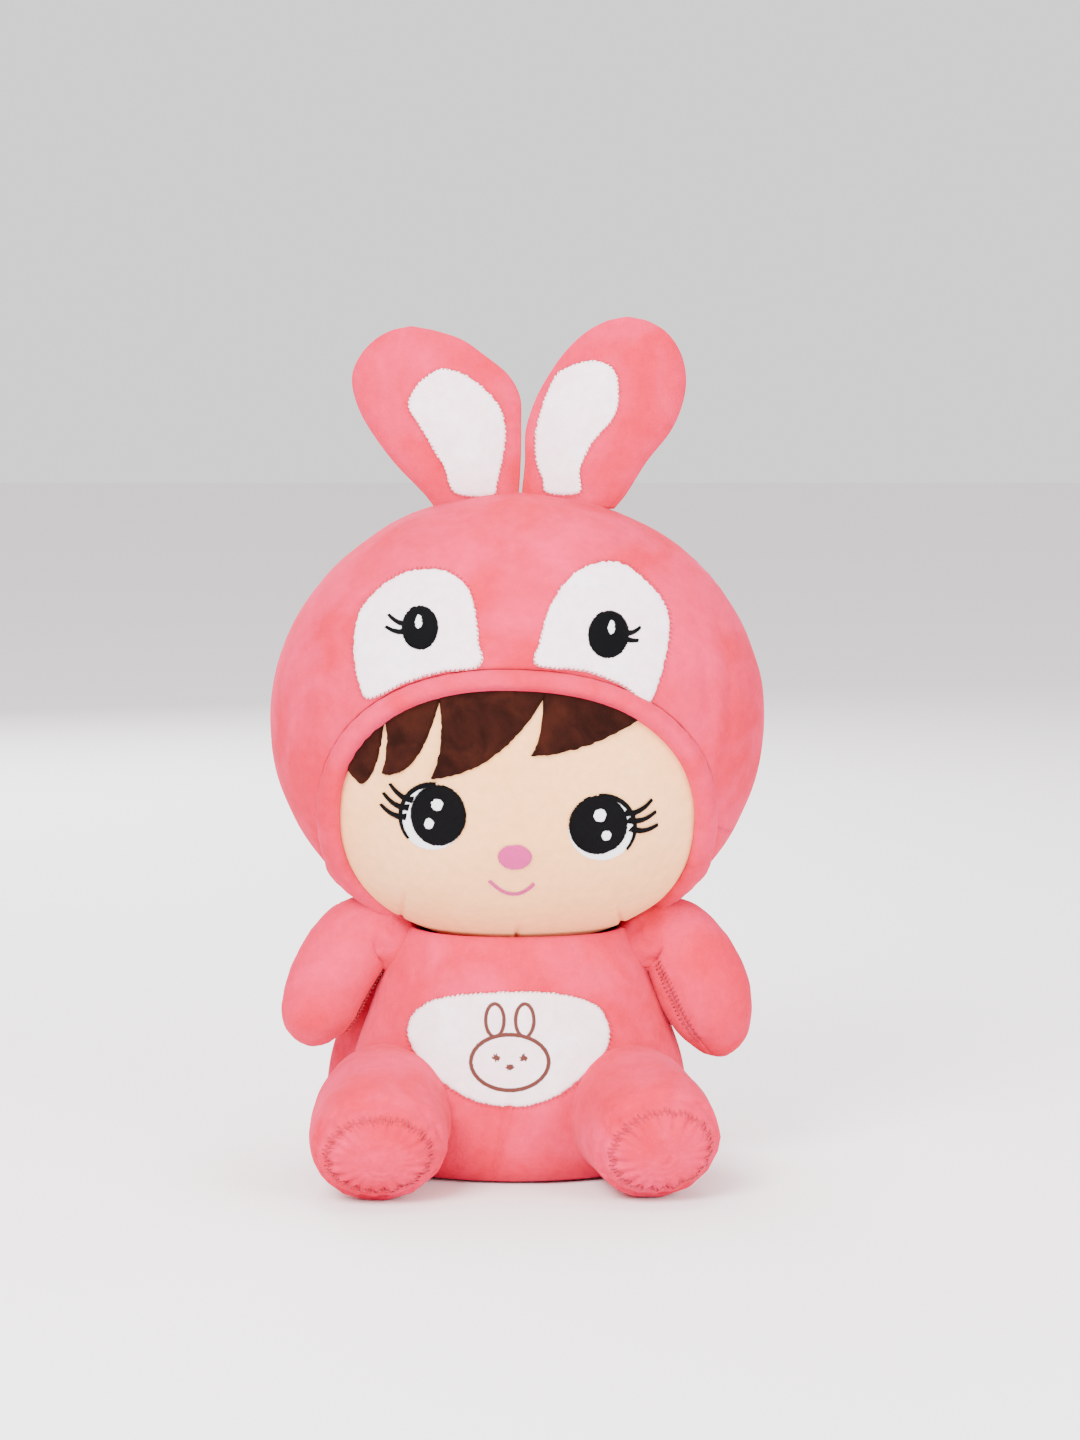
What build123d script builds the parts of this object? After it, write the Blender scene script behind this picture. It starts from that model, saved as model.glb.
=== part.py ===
from build123d import *
from math import atan2, degrees, dist
import os

# A seated plush doll that wears a hooded rabbit suit, in millimetres.
# +Z is up, the doll looks along -Y, and +X is on the right of someone who faces it.
# "left" and "right" are named from that side too.
# The origin is the middle of the seat, on the surface that the doll sits on.

os.makedirs("parts", exist_ok=True)

# ---- driving dimensions: cloth ------------------------------------------------------
SKIN = 2.0             # plush cloth, pile included
TRIM = 0.9             # a patch, or a block of embroidery
THREAD = 0.5           # each further layer of thread
AIR = 0.1              # between two layers that lie on each other
PACKED = 0.3           # between a skin and the stuffing in it

# ---- driving dimensions: head -------------------------------------------------------
HEAD_CENTRE = (0.7, 0, 202)
HEAD_HALF = (111.4, 84, 102.5)
HEAD_UNDERSIDE = 104            # flat that the neck seam closes
HOOD_SIDE_SEAM = 10             # how far behind the middle the side seam runs
OPENING_CENTRE = (0.7, 163)
OPENING_HALF = (78.5, 60)
OPENING_TILT = -2
BAND_WIDTH = 9.5
FACE_TUCK = 8                   # face cloth hidden under the band
BAND_PROUD = 1.5
BAND_DEPTH = 3.0
HAIR_TOP = -3.2                 # heights from here on are measured from the hood's surface
HAIR_BOTTOM = -5.0
FACE_TOP = -5.3
FRONT = (0, -1, 0)
REACH = 140                     # longer than any cut made from the front

# ---- driving dimensions: neck, torso and limbs --------------------------------------
NECK_CENTRE = (0, 0, 98)
NECK_RADIUS = 19
SOCKET_GAP = 0.7

TORSO_HEIGHT = 95
TORSO_CENTRE = (0, 0, 38)
TORSO_HALF = (76, 58.5, 66)

SHOULDER_RADIUS = 15
ARM_RADIUS = 15.5
ARMS = {
    "left": {"root": (-64, -2, 96.5), "tip": (-89.5, -9, 71), "radius": 16.5},
    "right": {"root": (64, -2, 96.5), "tip": (92.5, -9, 66), "radius": 17},
}
HIP_RADIUS = 29
THIGH_RADIUS = 25               # narrower than the hip, so that the leg lifts clear of the belly
THIGH_RUN = 18
ANKLE_RADIUS = 28.3
SOLE_RADIUS = 24
LEG_LENGTH = 68
LEGS = {
    "left": {"root": (-60, -38, 34.5), "tip": (-59.5, -105.8, 29)},
    "right": {"root": (51, -36, 34.5), "tip": (66.5, -102, 29)},
}

# ---- driving dimensions: ears -------------------------------------------------------
# Each row of the ear: share of its height, lean outwards, half width, half thickness.
EAR_ROWS = ((0, 0, 20, 3), (0.22, 7, 28, 8), (0.42, 13, 34, 9.5), (0.62, 18, 35, 9),
            (0.79, 21, 30, 7.5), (0.92, 24, 20, 5), (1, 26, 9, 2.5))
EARS = {
    "left": {"base": (-18.5, 0, 307), "height": 71, "out": -1},
    "right": {"base": (25.5, 0, 307), "height": 75.5, "out": 1},
}


def save(piece, name):
    """Label one finished piece and write it."""
    piece.part.label = name
    export_step(piece.part, f"parts/{name}.step")


# ---- forms that several pieces are cut from -------------------------------------------
def ellipsoid(centre, half_axes, grow, low, high):
    """An ellipsoid grown along its three half axes, cut flat below and above."""
    with BuildPart() as form:
        Sphere(100)
        scale(by=tuple((half + grow) / 100 for half in half_axes))
    placed = form.part.moved(Location(centre))
    with BuildPart() as cut:
        add(placed)
        split(bisect_by=Plane.XY.offset(low - grow), keep=Keep.TOP)
        split(bisect_by=Plane.XY.offset(high + grow), keep=Keep.BOTTOM)
    return cut.part


def head_form(grow):
    """The head, flat below where the neck seam closes it."""
    top = HEAD_CENTRE[2] + HEAD_HALF[2]
    return ellipsoid(HEAD_CENTRE, HEAD_HALF, grow, HEAD_UNDERSIDE, top + 2)


def torso_form(grow):
    """The torso, flat at the seat and at the neck."""
    return ellipsoid(TORSO_CENTRE, TORSO_HALF, grow, 0, TORSO_HEIGHT)


def along(root, tip):
    """A plane whose Y direction runs from the root of a limb to its tip."""
    run = (Vector(*tip) - Vector(*root)).normalized()
    across = run.cross(Vector(0, 1, 0)) if abs(run.Y) < 0.7 else run.cross(Vector(0, 0, 1))
    across = across.normalized()
    return Plane(origin=root, x_dir=across, z_dir=across.cross(run))


def arm_form(side, grow):
    """A mitten-shaped arm, turned about the line from its shoulder to its tip."""
    arm = ARMS[side]
    length = dist(arm["root"], arm["tip"])
    root = SHOULDER_RADIUS + grow
    tip = arm["radius"] + grow
    plane = along(arm["root"], arm["tip"])
    with BuildPart() as form:
        with BuildSketch(plane):
            with BuildLine():
                CenterArc((0, 0), root, -90, 90)
                ThreePointArc((root, 0), (ARM_RADIUS + grow, length / 2), (tip, length))
                CenterArc((0, length), tip, 0, 90)
                Line((0, length + tip), (0, -root))
            make_face()
        revolve(axis=Axis(arm["root"], plane.y_dir))
    return form.part


def leg_form(side, grow):
    """A stubby leg: a ball at the hip, a tapered tube, and a flat sole."""
    leg = LEGS[side]
    hip = HIP_RADIUS + grow
    thigh = THIGH_RADIUS + grow
    thigh_start = (hip ** 2 - thigh ** 2) ** 0.5
    hip_edge = (thigh, thigh_start)
    ankle = ANKLE_RADIUS + grow
    sole = SOLE_RADIUS + grow
    length = LEG_LENGTH + grow
    bend = (ankle - 1.2, length - 4)
    plane = along(leg["root"], leg["tip"])
    with BuildPart() as form:
        with BuildSketch(plane):
            with BuildLine():
                ThreePointArc((0, -hip), (hip, 0), hip_edge)
                Polyline(hip_edge, (thigh, THIGH_RUN), (ankle, length - 10))
                ThreePointArc((ankle, length - 10), bend, (sole, length))
                Polyline((sole, length), (0, length), (0, -hip))
            make_face()
        revolve(axis=Axis(leg["root"], plane.y_dir))
    return form.part


def ear_form(side, grow):
    """A padded ear, lofted through level ellipses."""
    ear = EARS[side]
    x, y, z = ear["base"]
    with BuildPart() as form:
        for share, lean, half_width, half_thickness in EAR_ROWS:
            height = z - grow + (ear["height"] + 2 * grow) * share
            row = Plane(origin=(x + ear["out"] * lean, y, height))
            with BuildSketch(row):
                Ellipse(half_width + grow, half_thickness + grow)
        loft()
    return form.part


def shell_between(form, low, high):
    """The skin of a form between two heights above its surface."""
    outer = form(high)
    inner = form(low)
    with BuildPart() as shell:
        add(outer)
        add(inner, mode=Mode.SUBTRACT)
    return shell.part


def slice_of(form, outline, low, high):
    """The part of a form's skin that an outline, drawn from the front, covers."""
    outer = form(high)
    inner = form(low)
    with BuildPart() as piece:
        extrude(outline, amount=REACH, dir=FRONT)
        add(outer, mode=Mode.INTERSECT)
        add(inner, mode=Mode.SUBTRACT)
    return piece.part


# ---- outlines, drawn in the upright plane that faces the front ------------------------
def opening_outline(grow):
    """The face opening of the hood, grown or shrunk."""
    with BuildSketch(Plane.XZ) as outline:
        with Locations(OPENING_CENTRE):
            Ellipse(OPENING_HALF[0] + grow, OPENING_HALF[1] + grow, rotation=OPENING_TILT)
    return outline.sketch


def ovals(*rows):
    """Ovals, each given as its centre, half width and half height."""
    with BuildSketch(Plane.XZ) as outline:
        for x, z, half_width, half_height in rows:
            with Locations((x, z)):
                Ellipse(half_width, half_height)
    return outline.sketch


def strokes(width, *rows):
    """Round-ended stitched strokes, each given as its two ends."""
    with BuildSketch(Plane.XZ) as outline:
        for start, end in rows:
            middle = ((start[0] + end[0]) / 2, (start[1] + end[1]) / 2)
            turn = degrees(atan2(end[1] - start[1], end[0] - start[0]))
            with Locations(middle):
                SlotCenterToCenter(dist(start, end), width, rotation=turn)
    return outline.sketch


def smooth_outline(*points):
    """A closed smooth outline through a few points."""
    with BuildSketch(Plane.XZ) as outline:
        with BuildLine():
            Spline(points, periodic=True)
        make_face()
    return outline.sketch


def lock_outline(root_left, hollow, tip, belly, root_right):
    """A pointed lock of hair: a hollow edge, a tip, and a full edge back to its root."""
    with BuildSketch(Plane.XZ) as outline:
        with BuildLine():
            ThreePointArc(root_left, hollow, tip)
            ThreePointArc(tip, belly, root_right)
            Line(root_right, root_left)
        make_face()
    return outline.sketch


def ring_outline(x, z, half_width, half_height, width):
    """An outlined oval, stitched this wide."""
    with BuildSketch(Plane.XZ) as outline:
        with Locations((x, z)):
            Ellipse(half_width, half_height)
            Ellipse(half_width - width, half_height - width, mode=Mode.SUBTRACT)
    return outline.sketch


neck_ball = Location(NECK_CENTRE)

# ---- hood ---------------------------------------------------------------------------
head_skin = shell_between(head_form, -SKIN, 0)
band_cut = opening_outline(BAND_WIDTH)
opening_cut = opening_outline(0)

with BuildPart() as hood_skin:
    add(head_skin)
    with Locations(neck_ball):
        Sphere(NECK_RADIUS + SOCKET_GAP, mode=Mode.SUBTRACT)

with BuildPart() as hood_front_panel:
    add(hood_skin.part)
    split(bisect_by=Plane.XZ.offset(-HOOD_SIDE_SEAM), keep=Keep.TOP)
    extrude(band_cut, amount=REACH, dir=FRONT, mode=Mode.SUBTRACT)
save(hood_front_panel, "hood_front_panel")

for side, keep in (("left", Keep.BOTTOM), ("right", Keep.TOP)):
    with BuildPart() as hood_back_panel:
        add(hood_skin.part)
        split(bisect_by=Plane.XZ.offset(-HOOD_SIDE_SEAM), keep=Keep.BOTTOM)
        split(bisect_by=Plane.YZ.offset(HEAD_CENTRE[0]), keep=keep)
    save(hood_back_panel, f"hood_back_{side}_panel")

band_skin = slice_of(head_form, band_cut, -BAND_DEPTH, BAND_PROUD)
with BuildPart() as hood_brim_band:
    add(band_skin)
    extrude(opening_cut, amount=REACH, dir=FRONT, mode=Mode.SUBTRACT)
    with Locations(neck_ball):
        Sphere(NECK_RADIUS + SOCKET_GAP, mode=Mode.SUBTRACT)
save(hood_brim_band, "hood_brim_band")

HOOD_PATCHES = {
    "left": smooth_outline((-60, 221), (-68, 236), (-64, 260), (-44, 273), (-22, 267), (-16, 246),
                           (-16, 235), (-38, 229.5)),
    "right": smooth_outline((10, 235), (13, 256), (27, 273), (46, 276), (64, 259), (65, 240),
                            (58, 220), (36, 229)),
}
HOOD_EYES = {"left": (-40.8, 249.3, 7.9, 9.4), "right": (40.1, 246.2, 8.8, 10.1)}
HOOD_GLINTS = {"left": (-41.3, 251.7, 1.4, 2.7), "right": (41.1, 249.1, 1.4, 2.7)}
HOOD_LASHES = {
    "left": (((-47, 251), (-54, 254.5)), ((-48, 247.5), (-55, 249.5))),
    "right": (((48, 247), (53.5, 248.8)), ((48, 244.5), (52.5, 244))),
}
PATCH_TOP = AIR + TRIM
EYE_TOP = PATCH_TOP + AIR + THREAD
GLINT_TOP = EYE_TOP + AIR + THREAD
for side in ("left", "right"):
    patch = slice_of(head_form, HOOD_PATCHES[side], AIR, PATCH_TOP)
    band_room = opening_outline(BAND_WIDTH + AIR)
    with BuildPart() as hood_eye_patch:
        add(patch)
        extrude(band_room, amount=REACH, dir=FRONT, mode=Mode.SUBTRACT)
    save(hood_eye_patch, f"hood_{side}_eye_patch")

    with BuildSketch(Plane.XZ) as eye_outline:
        add(ovals(HOOD_EYES[side]))
        add(strokes(1.2, *HOOD_LASHES[side]))
    eye = slice_of(head_form, eye_outline.sketch, PATCH_TOP + AIR, EYE_TOP)
    with BuildPart() as hood_eye:
        add(eye)
    save(hood_eye, f"hood_{side}_eye_embroidery")

    glint = slice_of(head_form, ovals(HOOD_GLINTS[side]), EYE_TOP + AIR, GLINT_TOP)
    with BuildPart() as hood_glint:
        add(glint)
    save(hood_glint, f"hood_{side}_eye_glint")

# ---- face and fringe ------------------------------------------------------------------
face = slice_of(head_form, opening_outline(FACE_TUCK), FACE_TOP - SKIN, FACE_TOP)
with BuildPart() as face_panel:
    add(face)
    with Locations(neck_ball):
        Sphere(NECK_RADIUS + SOCKET_GAP, mode=Mode.SUBTRACT)
save(face_panel, "face_panel")

FRINGE = {
    "far_left": ((-76, 195), (-72, 187.5), (-67, 182), (-61, 191), (-56, 214)),
    "left": ((-55.2, 215), (-54.6, 200), (-57.4, 186.7), (-42, 194), (-33, 222)),
    "middle": ((-32.2, 223), (-32.2, 202), (-36.2, 184.4), (-8, 195), (12, 225)),
    "right": ((14, 225), (11.8, 206), (6.7, 194.5), (34, 200), (58, 214)),
}
for name, points in FRINGE.items():
    lock = slice_of(head_form, lock_outline(*points), HAIR_BOTTOM, HAIR_TOP)
    with BuildPart() as fringe_lock:
        add(lock)
    save(fringe_lock, f"fringe_{name}_lock")

EYE_WHITES = {"left": (-35.8, 168.4, 13.5, 14.3), "right": (37.2, 163.2, 14.3, 14.3)}
EYE_IRISES = {"left": (-33.1, 168.9, 12, 13.4), "right": (35.9, 164.7, 12.6, 12.6)}
EYE_GLINTS = {
    "left": ((-33.5, 173.2, 2.4, 2.4), (-37, 165.4, 2.1, 2.1)),
    "right": ((36.6, 168.9, 2.6, 2.6), (39.3, 160.1, 2, 2)),
}
EYE_LASHES = {
    "left": (((-51, 174), (-54.5, 181.5)), ((-51.5, 171), (-57.5, 177.5)),
             ((-52, 167), (-58.5, 172.5))),
    "right": (((53, 170.5), (59, 175)), ((54, 166.5), (60.7, 170)), ((54, 162.5), (61.3, 164.5))),
}
WHITE_TOP = FACE_TOP + AIR + THREAD
IRIS_TOP = WHITE_TOP + AIR + THREAD
FACE_GLINT_TOP = IRIS_TOP + AIR + THREAD
for side in ("left", "right"):
    layers = {
        "white": (ovals(EYE_WHITES[side]), FACE_TOP + AIR, WHITE_TOP),
        "iris": (ovals(EYE_IRISES[side]), WHITE_TOP + AIR, IRIS_TOP),
        "glints": (ovals(*EYE_GLINTS[side]), IRIS_TOP + AIR, FACE_GLINT_TOP),
        "lashes": (strokes(1.3, *EYE_LASHES[side]), FACE_TOP + AIR, WHITE_TOP),
    }
    for name, (outline, low, high) in layers.items():
        layer = slice_of(head_form, outline, low, high)
        with BuildPart() as eye_layer:
            add(layer)
        save(eye_layer, f"{side}_eye_{name}")

NOSE = (0, 151, 7, 5.6)
SMILE = ((-10.7, 140.4), (-0.7, 135.3), (7.8, 139.3))
SMILE_WIDTH = 1.4
nose = slice_of(head_form, ovals(NOSE), FACE_TOP + AIR, WHITE_TOP)
with BuildPart() as nose_embroidery:
    add(nose)
save(nose_embroidery, "nose_embroidery")

smile_low = [(x, z - SMILE_WIDTH / 2) for x, z in SMILE]
smile_high = [(x, z + SMILE_WIDTH / 2) for x, z in SMILE]
with BuildSketch(Plane.XZ) as smile_outline:
    with BuildLine():
        ThreePointArc(*smile_low)
        ThreePointArc(*smile_high)
        Line(smile_low[0], smile_high[0])
        Line(smile_low[-1], smile_high[-1])
    make_face()
smile = slice_of(head_form, smile_outline.sketch, FACE_TOP + AIR, WHITE_TOP)
with BuildPart() as mouth_embroidery:
    add(smile)
save(mouth_embroidery, "mouth_embroidery")

# ---- head stuffing --------------------------------------------------------------------
head_core = head_form(-SKIN - PACKED)
face_room = slice_of(head_form, opening_outline(FACE_TUCK + 2), FACE_TOP - SKIN - PACKED, 5)
with BuildPart() as head_stuffing:
    add(head_core)
    add(face_room, mode=Mode.SUBTRACT)
    with Locations(neck_ball):
        Sphere(NECK_RADIUS + SOCKET_GAP, mode=Mode.SUBTRACT)
save(head_stuffing, "head_stuffing")

# ---- neck -----------------------------------------------------------------------------
with BuildPart() as neck_stuffing:
    with Locations(neck_ball):
        Sphere(NECK_RADIUS)
save(neck_stuffing, "neck_stuffing")

# ---- ears -----------------------------------------------------------------------------
EAR_LININGS = {
    "left": smooth_outline((-26, 312), (-38, 330), (-47, 346), (-33, 360), (-11, 348), (-6, 330),
                           (-11, 313)),
    "right": smooth_outline((13, 313), (9, 330), (15, 352), (32, 363), (45, 351), (35, 330),
                            (28, 313)),
}
for side in ("left", "right"):
    def form(grow, side=side):
        return ear_form(side, grow)
    ear_skin = shell_between(form, -SKIN, 0)
    for face_name, keep in (("front", Keep.TOP), ("back", Keep.BOTTOM)):
        with BuildPart() as ear_panel:
            add(ear_skin)
            split(bisect_by=Plane.XZ, keep=keep)
        save(ear_panel, f"{side}_ear_{face_name}_panel")
    ear_core = form(-SKIN - PACKED)
    with BuildPart() as ear_batting:
        add(ear_core)
    save(ear_batting, f"{side}_ear_batting")
    lining = slice_of(form, EAR_LININGS[side], AIR, AIR + TRIM)
    with BuildPart() as ear_lining:
        add(lining)
    save(ear_lining, f"{side}_ear_lining")

# ---- torso ----------------------------------------------------------------------------
def cut_sockets():
    """Cut the ball sockets of the neck, the shoulders and the hips from the part being built."""
    rooms = [(NECK_CENTRE, NECK_RADIUS)]
    rooms += [(arm["root"], SHOULDER_RADIUS) for arm in ARMS.values()]
    rooms += [(leg["root"], HIP_RADIUS) for leg in LEGS.values()]
    for centre, radius in rooms:
        with Locations(centre):
            Sphere(radius + SOCKET_GAP, mode=Mode.SUBTRACT)


torso_skin = shell_between(torso_form, -SKIN, 0)

with BuildPart() as torso_wall:
    add(torso_skin)
    split(bisect_by=Plane.XY.offset(SKIN), keep=Keep.TOP)
    cut_sockets()

with BuildPart() as torso_front_panel:
    add(torso_wall.part)
    split(bisect_by=Plane.XZ, keep=Keep.TOP)
save(torso_front_panel, "torso_front_panel")

for side, keep in (("left", Keep.BOTTOM), ("right", Keep.TOP)):
    with BuildPart() as torso_back_panel:
        add(torso_wall.part)
        split(bisect_by=Plane.XZ, keep=Keep.BOTTOM)
        split(bisect_by=Plane.YZ, keep=keep)
    save(torso_back_panel, f"torso_back_{side}_panel")

with BuildPart() as seat_base_panel:
    add(torso_skin)
    split(bisect_by=Plane.XY.offset(SKIN), keep=Keep.BOTTOM)
save(seat_base_panel, "seat_base_panel")

torso_core = torso_form(-SKIN - PACKED)
with BuildPart() as torso_stuffing:
    add(torso_core)
    cut_sockets()
save(torso_stuffing, "torso_stuffing")

# ---- belly patch and its embroidered rabbit head ---------------------------------------
BELLY_PATCH = smooth_outline((-46, 72), (-36, 85.5), (-3, 89), (31, 85.5), (41, 72), (30, 50),
                             (-2, 36.5), (-34, 50))
patch = slice_of(torso_form, BELLY_PATCH, AIR, PATCH_TOP)
with BuildPart() as belly_patch:
    add(patch)
    cut_sockets()
save(belly_patch, "belly_patch")

MOTIF_LINE = 1.2
MOTIF_HEAD = (-2.5, 57, 14, 11)
MOTIF_EARS = ((-9, 75.3, 3.6, 7), (4, 75.3, 3.6, 7))
MOTIF_EYES = ((-7.5, 58.5, 1.2, 1.2), (2.5, 58.5, 1.2, 1.2), (-2.5, 54, 1.5, 1))
with BuildSketch(Plane.XZ) as motif_outline:
    add(ring_outline(*MOTIF_HEAD, MOTIF_LINE))
    for motif_ear in MOTIF_EARS:
        add(ring_outline(*motif_ear, MOTIF_LINE))
    add(ovals(*MOTIF_EYES))
motif = slice_of(torso_form, motif_outline.sketch, PATCH_TOP + AIR, EYE_TOP)
with BuildPart() as belly_embroidery:
    add(motif)
save(belly_embroidery, "belly_embroidery")

# ---- tail and care label ----------------------------------------------------------------
TAIL_CENTRE = (0, 65, 26)
TAIL_RADIUS = 15
tail_room = torso_form(PACKED)
with BuildPart() as tail_puff:
    with Locations(TAIL_CENTRE):
        Sphere(TAIL_RADIUS)
    add(tail_room, mode=Mode.SUBTRACT)
save(tail_puff, "tail_puff")

LABEL_SIZE = (0.8, 40, 14)
LABEL_CENTRE = (0, 53, 62)
with BuildPart() as care_label:
    with Locations(LABEL_CENTRE):
        Box(*LABEL_SIZE)
    add(tail_room, mode=Mode.SUBTRACT)
save(care_label, "care_label")

# ---- arms -------------------------------------------------------------------------------
for side, arm in ARMS.items():
    def form(grow, side=side):
        return arm_form(side, grow)
    arm_skin = shell_between(form, -SKIN, 0)
    run = along(arm["root"], arm["tip"])
    parting = Plane(origin=arm["root"], x_dir=run.y_dir, z_dir=run.y_dir.cross(run.x_dir))
    front = Keep.TOP if parting.z_dir.Y < 0 else Keep.BOTTOM
    back = Keep.BOTTOM if parting.z_dir.Y < 0 else Keep.TOP
    for face_name, keep in (("front", front), ("back", back)):
        with BuildPart() as arm_panel:
            add(arm_skin)
            split(bisect_by=parting, keep=keep)
        save(arm_panel, f"{side}_arm_{face_name}_panel")
    arm_core = form(-SKIN - PACKED)
    with BuildPart() as arm_stuffing:
        add(arm_core)
    save(arm_stuffing, f"{side}_arm_stuffing")

# ---- legs -------------------------------------------------------------------------------
for side, leg in LEGS.items():
    def form(grow, side=side):
        return leg_form(side, grow)
    leg_skin = shell_between(form, -SKIN, 0)
    run = along(leg["root"], leg["tip"])
    sole_seam = Plane(origin=leg["root"], z_dir=run.y_dir).offset(LEG_LENGTH - SKIN)
    for piece_name, keep in (("leg_skin", Keep.BOTTOM), ("foot_sole", Keep.TOP)):
        with BuildPart() as leg_piece:
            add(leg_skin)
            split(bisect_by=sole_seam, keep=keep)
        save(leg_piece, f"{side}_{piece_name}")
    leg_core = form(-SKIN - PACKED)
    with BuildPart() as leg_stuffing:
        add(leg_core)
    save(leg_stuffing, f"{side}_leg_stuffing")
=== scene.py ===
import random
from math import acos, atan2, copysign, cos, exp, hypot, pi, radians, sin, sqrt, tau

import bpy
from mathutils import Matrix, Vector, noise


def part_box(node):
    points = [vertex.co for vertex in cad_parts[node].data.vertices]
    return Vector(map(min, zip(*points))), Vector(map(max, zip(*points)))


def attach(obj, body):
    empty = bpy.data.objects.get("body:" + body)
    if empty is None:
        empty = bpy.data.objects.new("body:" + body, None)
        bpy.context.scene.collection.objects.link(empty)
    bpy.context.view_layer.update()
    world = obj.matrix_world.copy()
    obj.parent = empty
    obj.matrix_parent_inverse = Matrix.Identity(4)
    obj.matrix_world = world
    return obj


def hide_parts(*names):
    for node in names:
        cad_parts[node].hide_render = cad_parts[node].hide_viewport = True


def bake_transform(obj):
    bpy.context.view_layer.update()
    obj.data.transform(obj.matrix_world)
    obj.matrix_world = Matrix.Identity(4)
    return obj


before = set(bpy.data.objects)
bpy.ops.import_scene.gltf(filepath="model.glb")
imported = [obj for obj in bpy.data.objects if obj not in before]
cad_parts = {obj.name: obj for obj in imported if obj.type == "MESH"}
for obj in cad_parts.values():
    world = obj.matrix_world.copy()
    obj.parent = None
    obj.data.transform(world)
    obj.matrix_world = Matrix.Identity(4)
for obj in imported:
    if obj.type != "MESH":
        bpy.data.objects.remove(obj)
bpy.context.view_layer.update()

# A seated plush doll in a rabbit suit. All sizes are in millimetres until a mesh is made.
# +Z is up, the doll looks along -Y, and +X is on the right of someone who faces it.
MM = 0.001
SIDES = {"left": -1, "right": 1}
random.seed(7)

# ---- driving sizes ----
HEAD_CENTRE = Vector((0.7, 0, 202))
HOOD_HALF = Vector((111.4, 84, 102.5))
FACE_HALF = Vector((107, 80.5, 101.5))
OPENING_CENTRE = (0, 161)
OPENING_HALF = (79.5, 62)
OPENING_SQUARE = 2.25           # exponent of the superellipse
OPENING_TILT = radians(-2.5)
BAND_WIDTH = 9.5
SIDE_SEAM_Y = 10                # how far behind the middle the hood's side seam runs
HEAD_UNDERSIDE = 103.5
HOOD_CLOTH = 1.8                # thicknesses of the cloth, pile included
FACE_CLOTH = 1.4
EAR_CLOTH = 0.5
TORSO_CLOTH = 1.6
ARM_CLOTH = 1.4
LEG_CLOTH = 1.2
SOLE_CLOTH = 1.0
PATCH_FUZZ = 0.45               # how far the pile at a white patch's edge strays
INSIDE_TORSO = (0, 0, 50)


# ---- small helpers ----
def smooth(value, low, high):
    """0 before low, 1 after high, and a smooth step between."""
    share = min(max((value - low) / (high - low), 0), 1)
    return share * share * (3 - 2 * share)


def groove(distance, width):
    """1 on a seam, falling to 0 a width away."""
    return exp(-((distance / width) ** 2))


def mottled(point, size, offset=0.0):
    """Smooth noise from -1 to 1 whose lumps are about this many millimetres across."""
    return noise.noise(Vector(point) / size + Vector((offset, offset * 1.7, -offset)))


def eased(rows, at):
    """Reads rows of (position, values...) with a smooth curve through them."""
    if at <= rows[0][0]:
        return rows[0][1:]
    if at >= rows[-1][0]:
        return rows[-1][1:]
    index = max(i for i in range(len(rows) - 1) if rows[i][0] <= at)
    before = rows[max(index - 1, 0)]
    start, end = rows[index], rows[index + 1]
    after = rows[min(index + 2, len(rows) - 1)]
    span = end[0] - start[0]
    t = (at - start[0]) / span
    found = []
    for column in range(1, len(start)):
        slope_in = (end[column] - before[column]) / max(end[0] - before[0], 1e-6) * span
        slope_out = (after[column] - start[column]) / max(after[0] - start[0], 1e-6) * span
        found.append((2 * t ** 3 - 3 * t ** 2 + 1) * start[column] + (t ** 3 - 2 * t ** 2 + t) * slope_in
                     + (3 * t ** 2 - 2 * t ** 3) * end[column] + (t ** 3 - t ** 2) * slope_out)
    return found


def make_mesh(name, points, faces):
    """A smooth-shaded object from points in millimetres."""
    mesh = bpy.data.meshes.new(name)
    mesh.from_pydata([tuple(c * MM for c in point) for point in points], [], faces)
    mesh.validate()
    mesh.shade_smooth()
    obj = bpy.data.objects.new(name, mesh)
    bpy.context.scene.collection.objects.link(obj)
    return obj


def middle_of(points):
    """The mean of some points."""
    return sum((Vector(p) for p in points), Vector()) / len(points)


def ring_faces(rows, count, closed=True):
    """The quads between rings whose points are listed one ring after another."""
    faces = []
    for row in range(rows - 1):
        for i in range(count if closed else count - 1):
            a, b = row * count + i, row * count + (i + 1) % count
            faces.append((a, b, b + count, a + count))
    return faces


def cap_faces(row, count, hub):
    """The triangles between a ring and the point at its middle. The first ring's look the other way."""
    edge = [(row * count + i, row * count + (i + 1) % count) for i in range(count)]
    return [(hub, b, a) if row == 0 else (hub, a, b) for a, b in edge]


def rings_mesh(name, rings, closed=True, start_cap=False, end_cap=False):
    """Joins rings of points, all of one length, into a surface. Only closed rings are capped."""
    count = len(rings[0])
    points = [point for ring in rings for point in ring]
    faces = ring_faces(len(rings), count, closed)
    for wanted, row in ((start_cap, 0), (end_cap, len(rings) - 1)):
        if wanted:
            faces += cap_faces(row, count, len(points))
            points.append(middle_of(rings[row]))
    return make_mesh(name, points, faces)


def face_away(obj, inside):
    """Turns a sheet's faces so that they look away from a point inside the stuffed form."""
    middle = Vector(inside) * MM
    outward = sum(p.area * p.normal.dot((p.center - middle).normalized()) for p in obj.data.polygons)
    if outward < 0:
        obj.data.flip_normals()


def thicken(obj, millimetres, inside):
    """Gives a sheet of cloth its thickness, inwards, and keeps the result."""
    face_away(obj, inside)
    solid = obj.modifiers.new("thickness", "SOLIDIFY")
    solid.thickness = millimetres * MM
    solid.offset = -1
    apply_modifiers(obj)


def apply_modifiers(obj):
    """Turns an object's modifiers into its own mesh."""
    graph = bpy.context.evaluated_depsgraph_get()
    mesh = bpy.data.meshes.new_from_object(obj.evaluated_get(graph))
    old = obj.data
    obj.modifiers.clear()
    obj.data = mesh
    obj.data.shade_smooth()
    bpy.data.meshes.remove(old)


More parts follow.
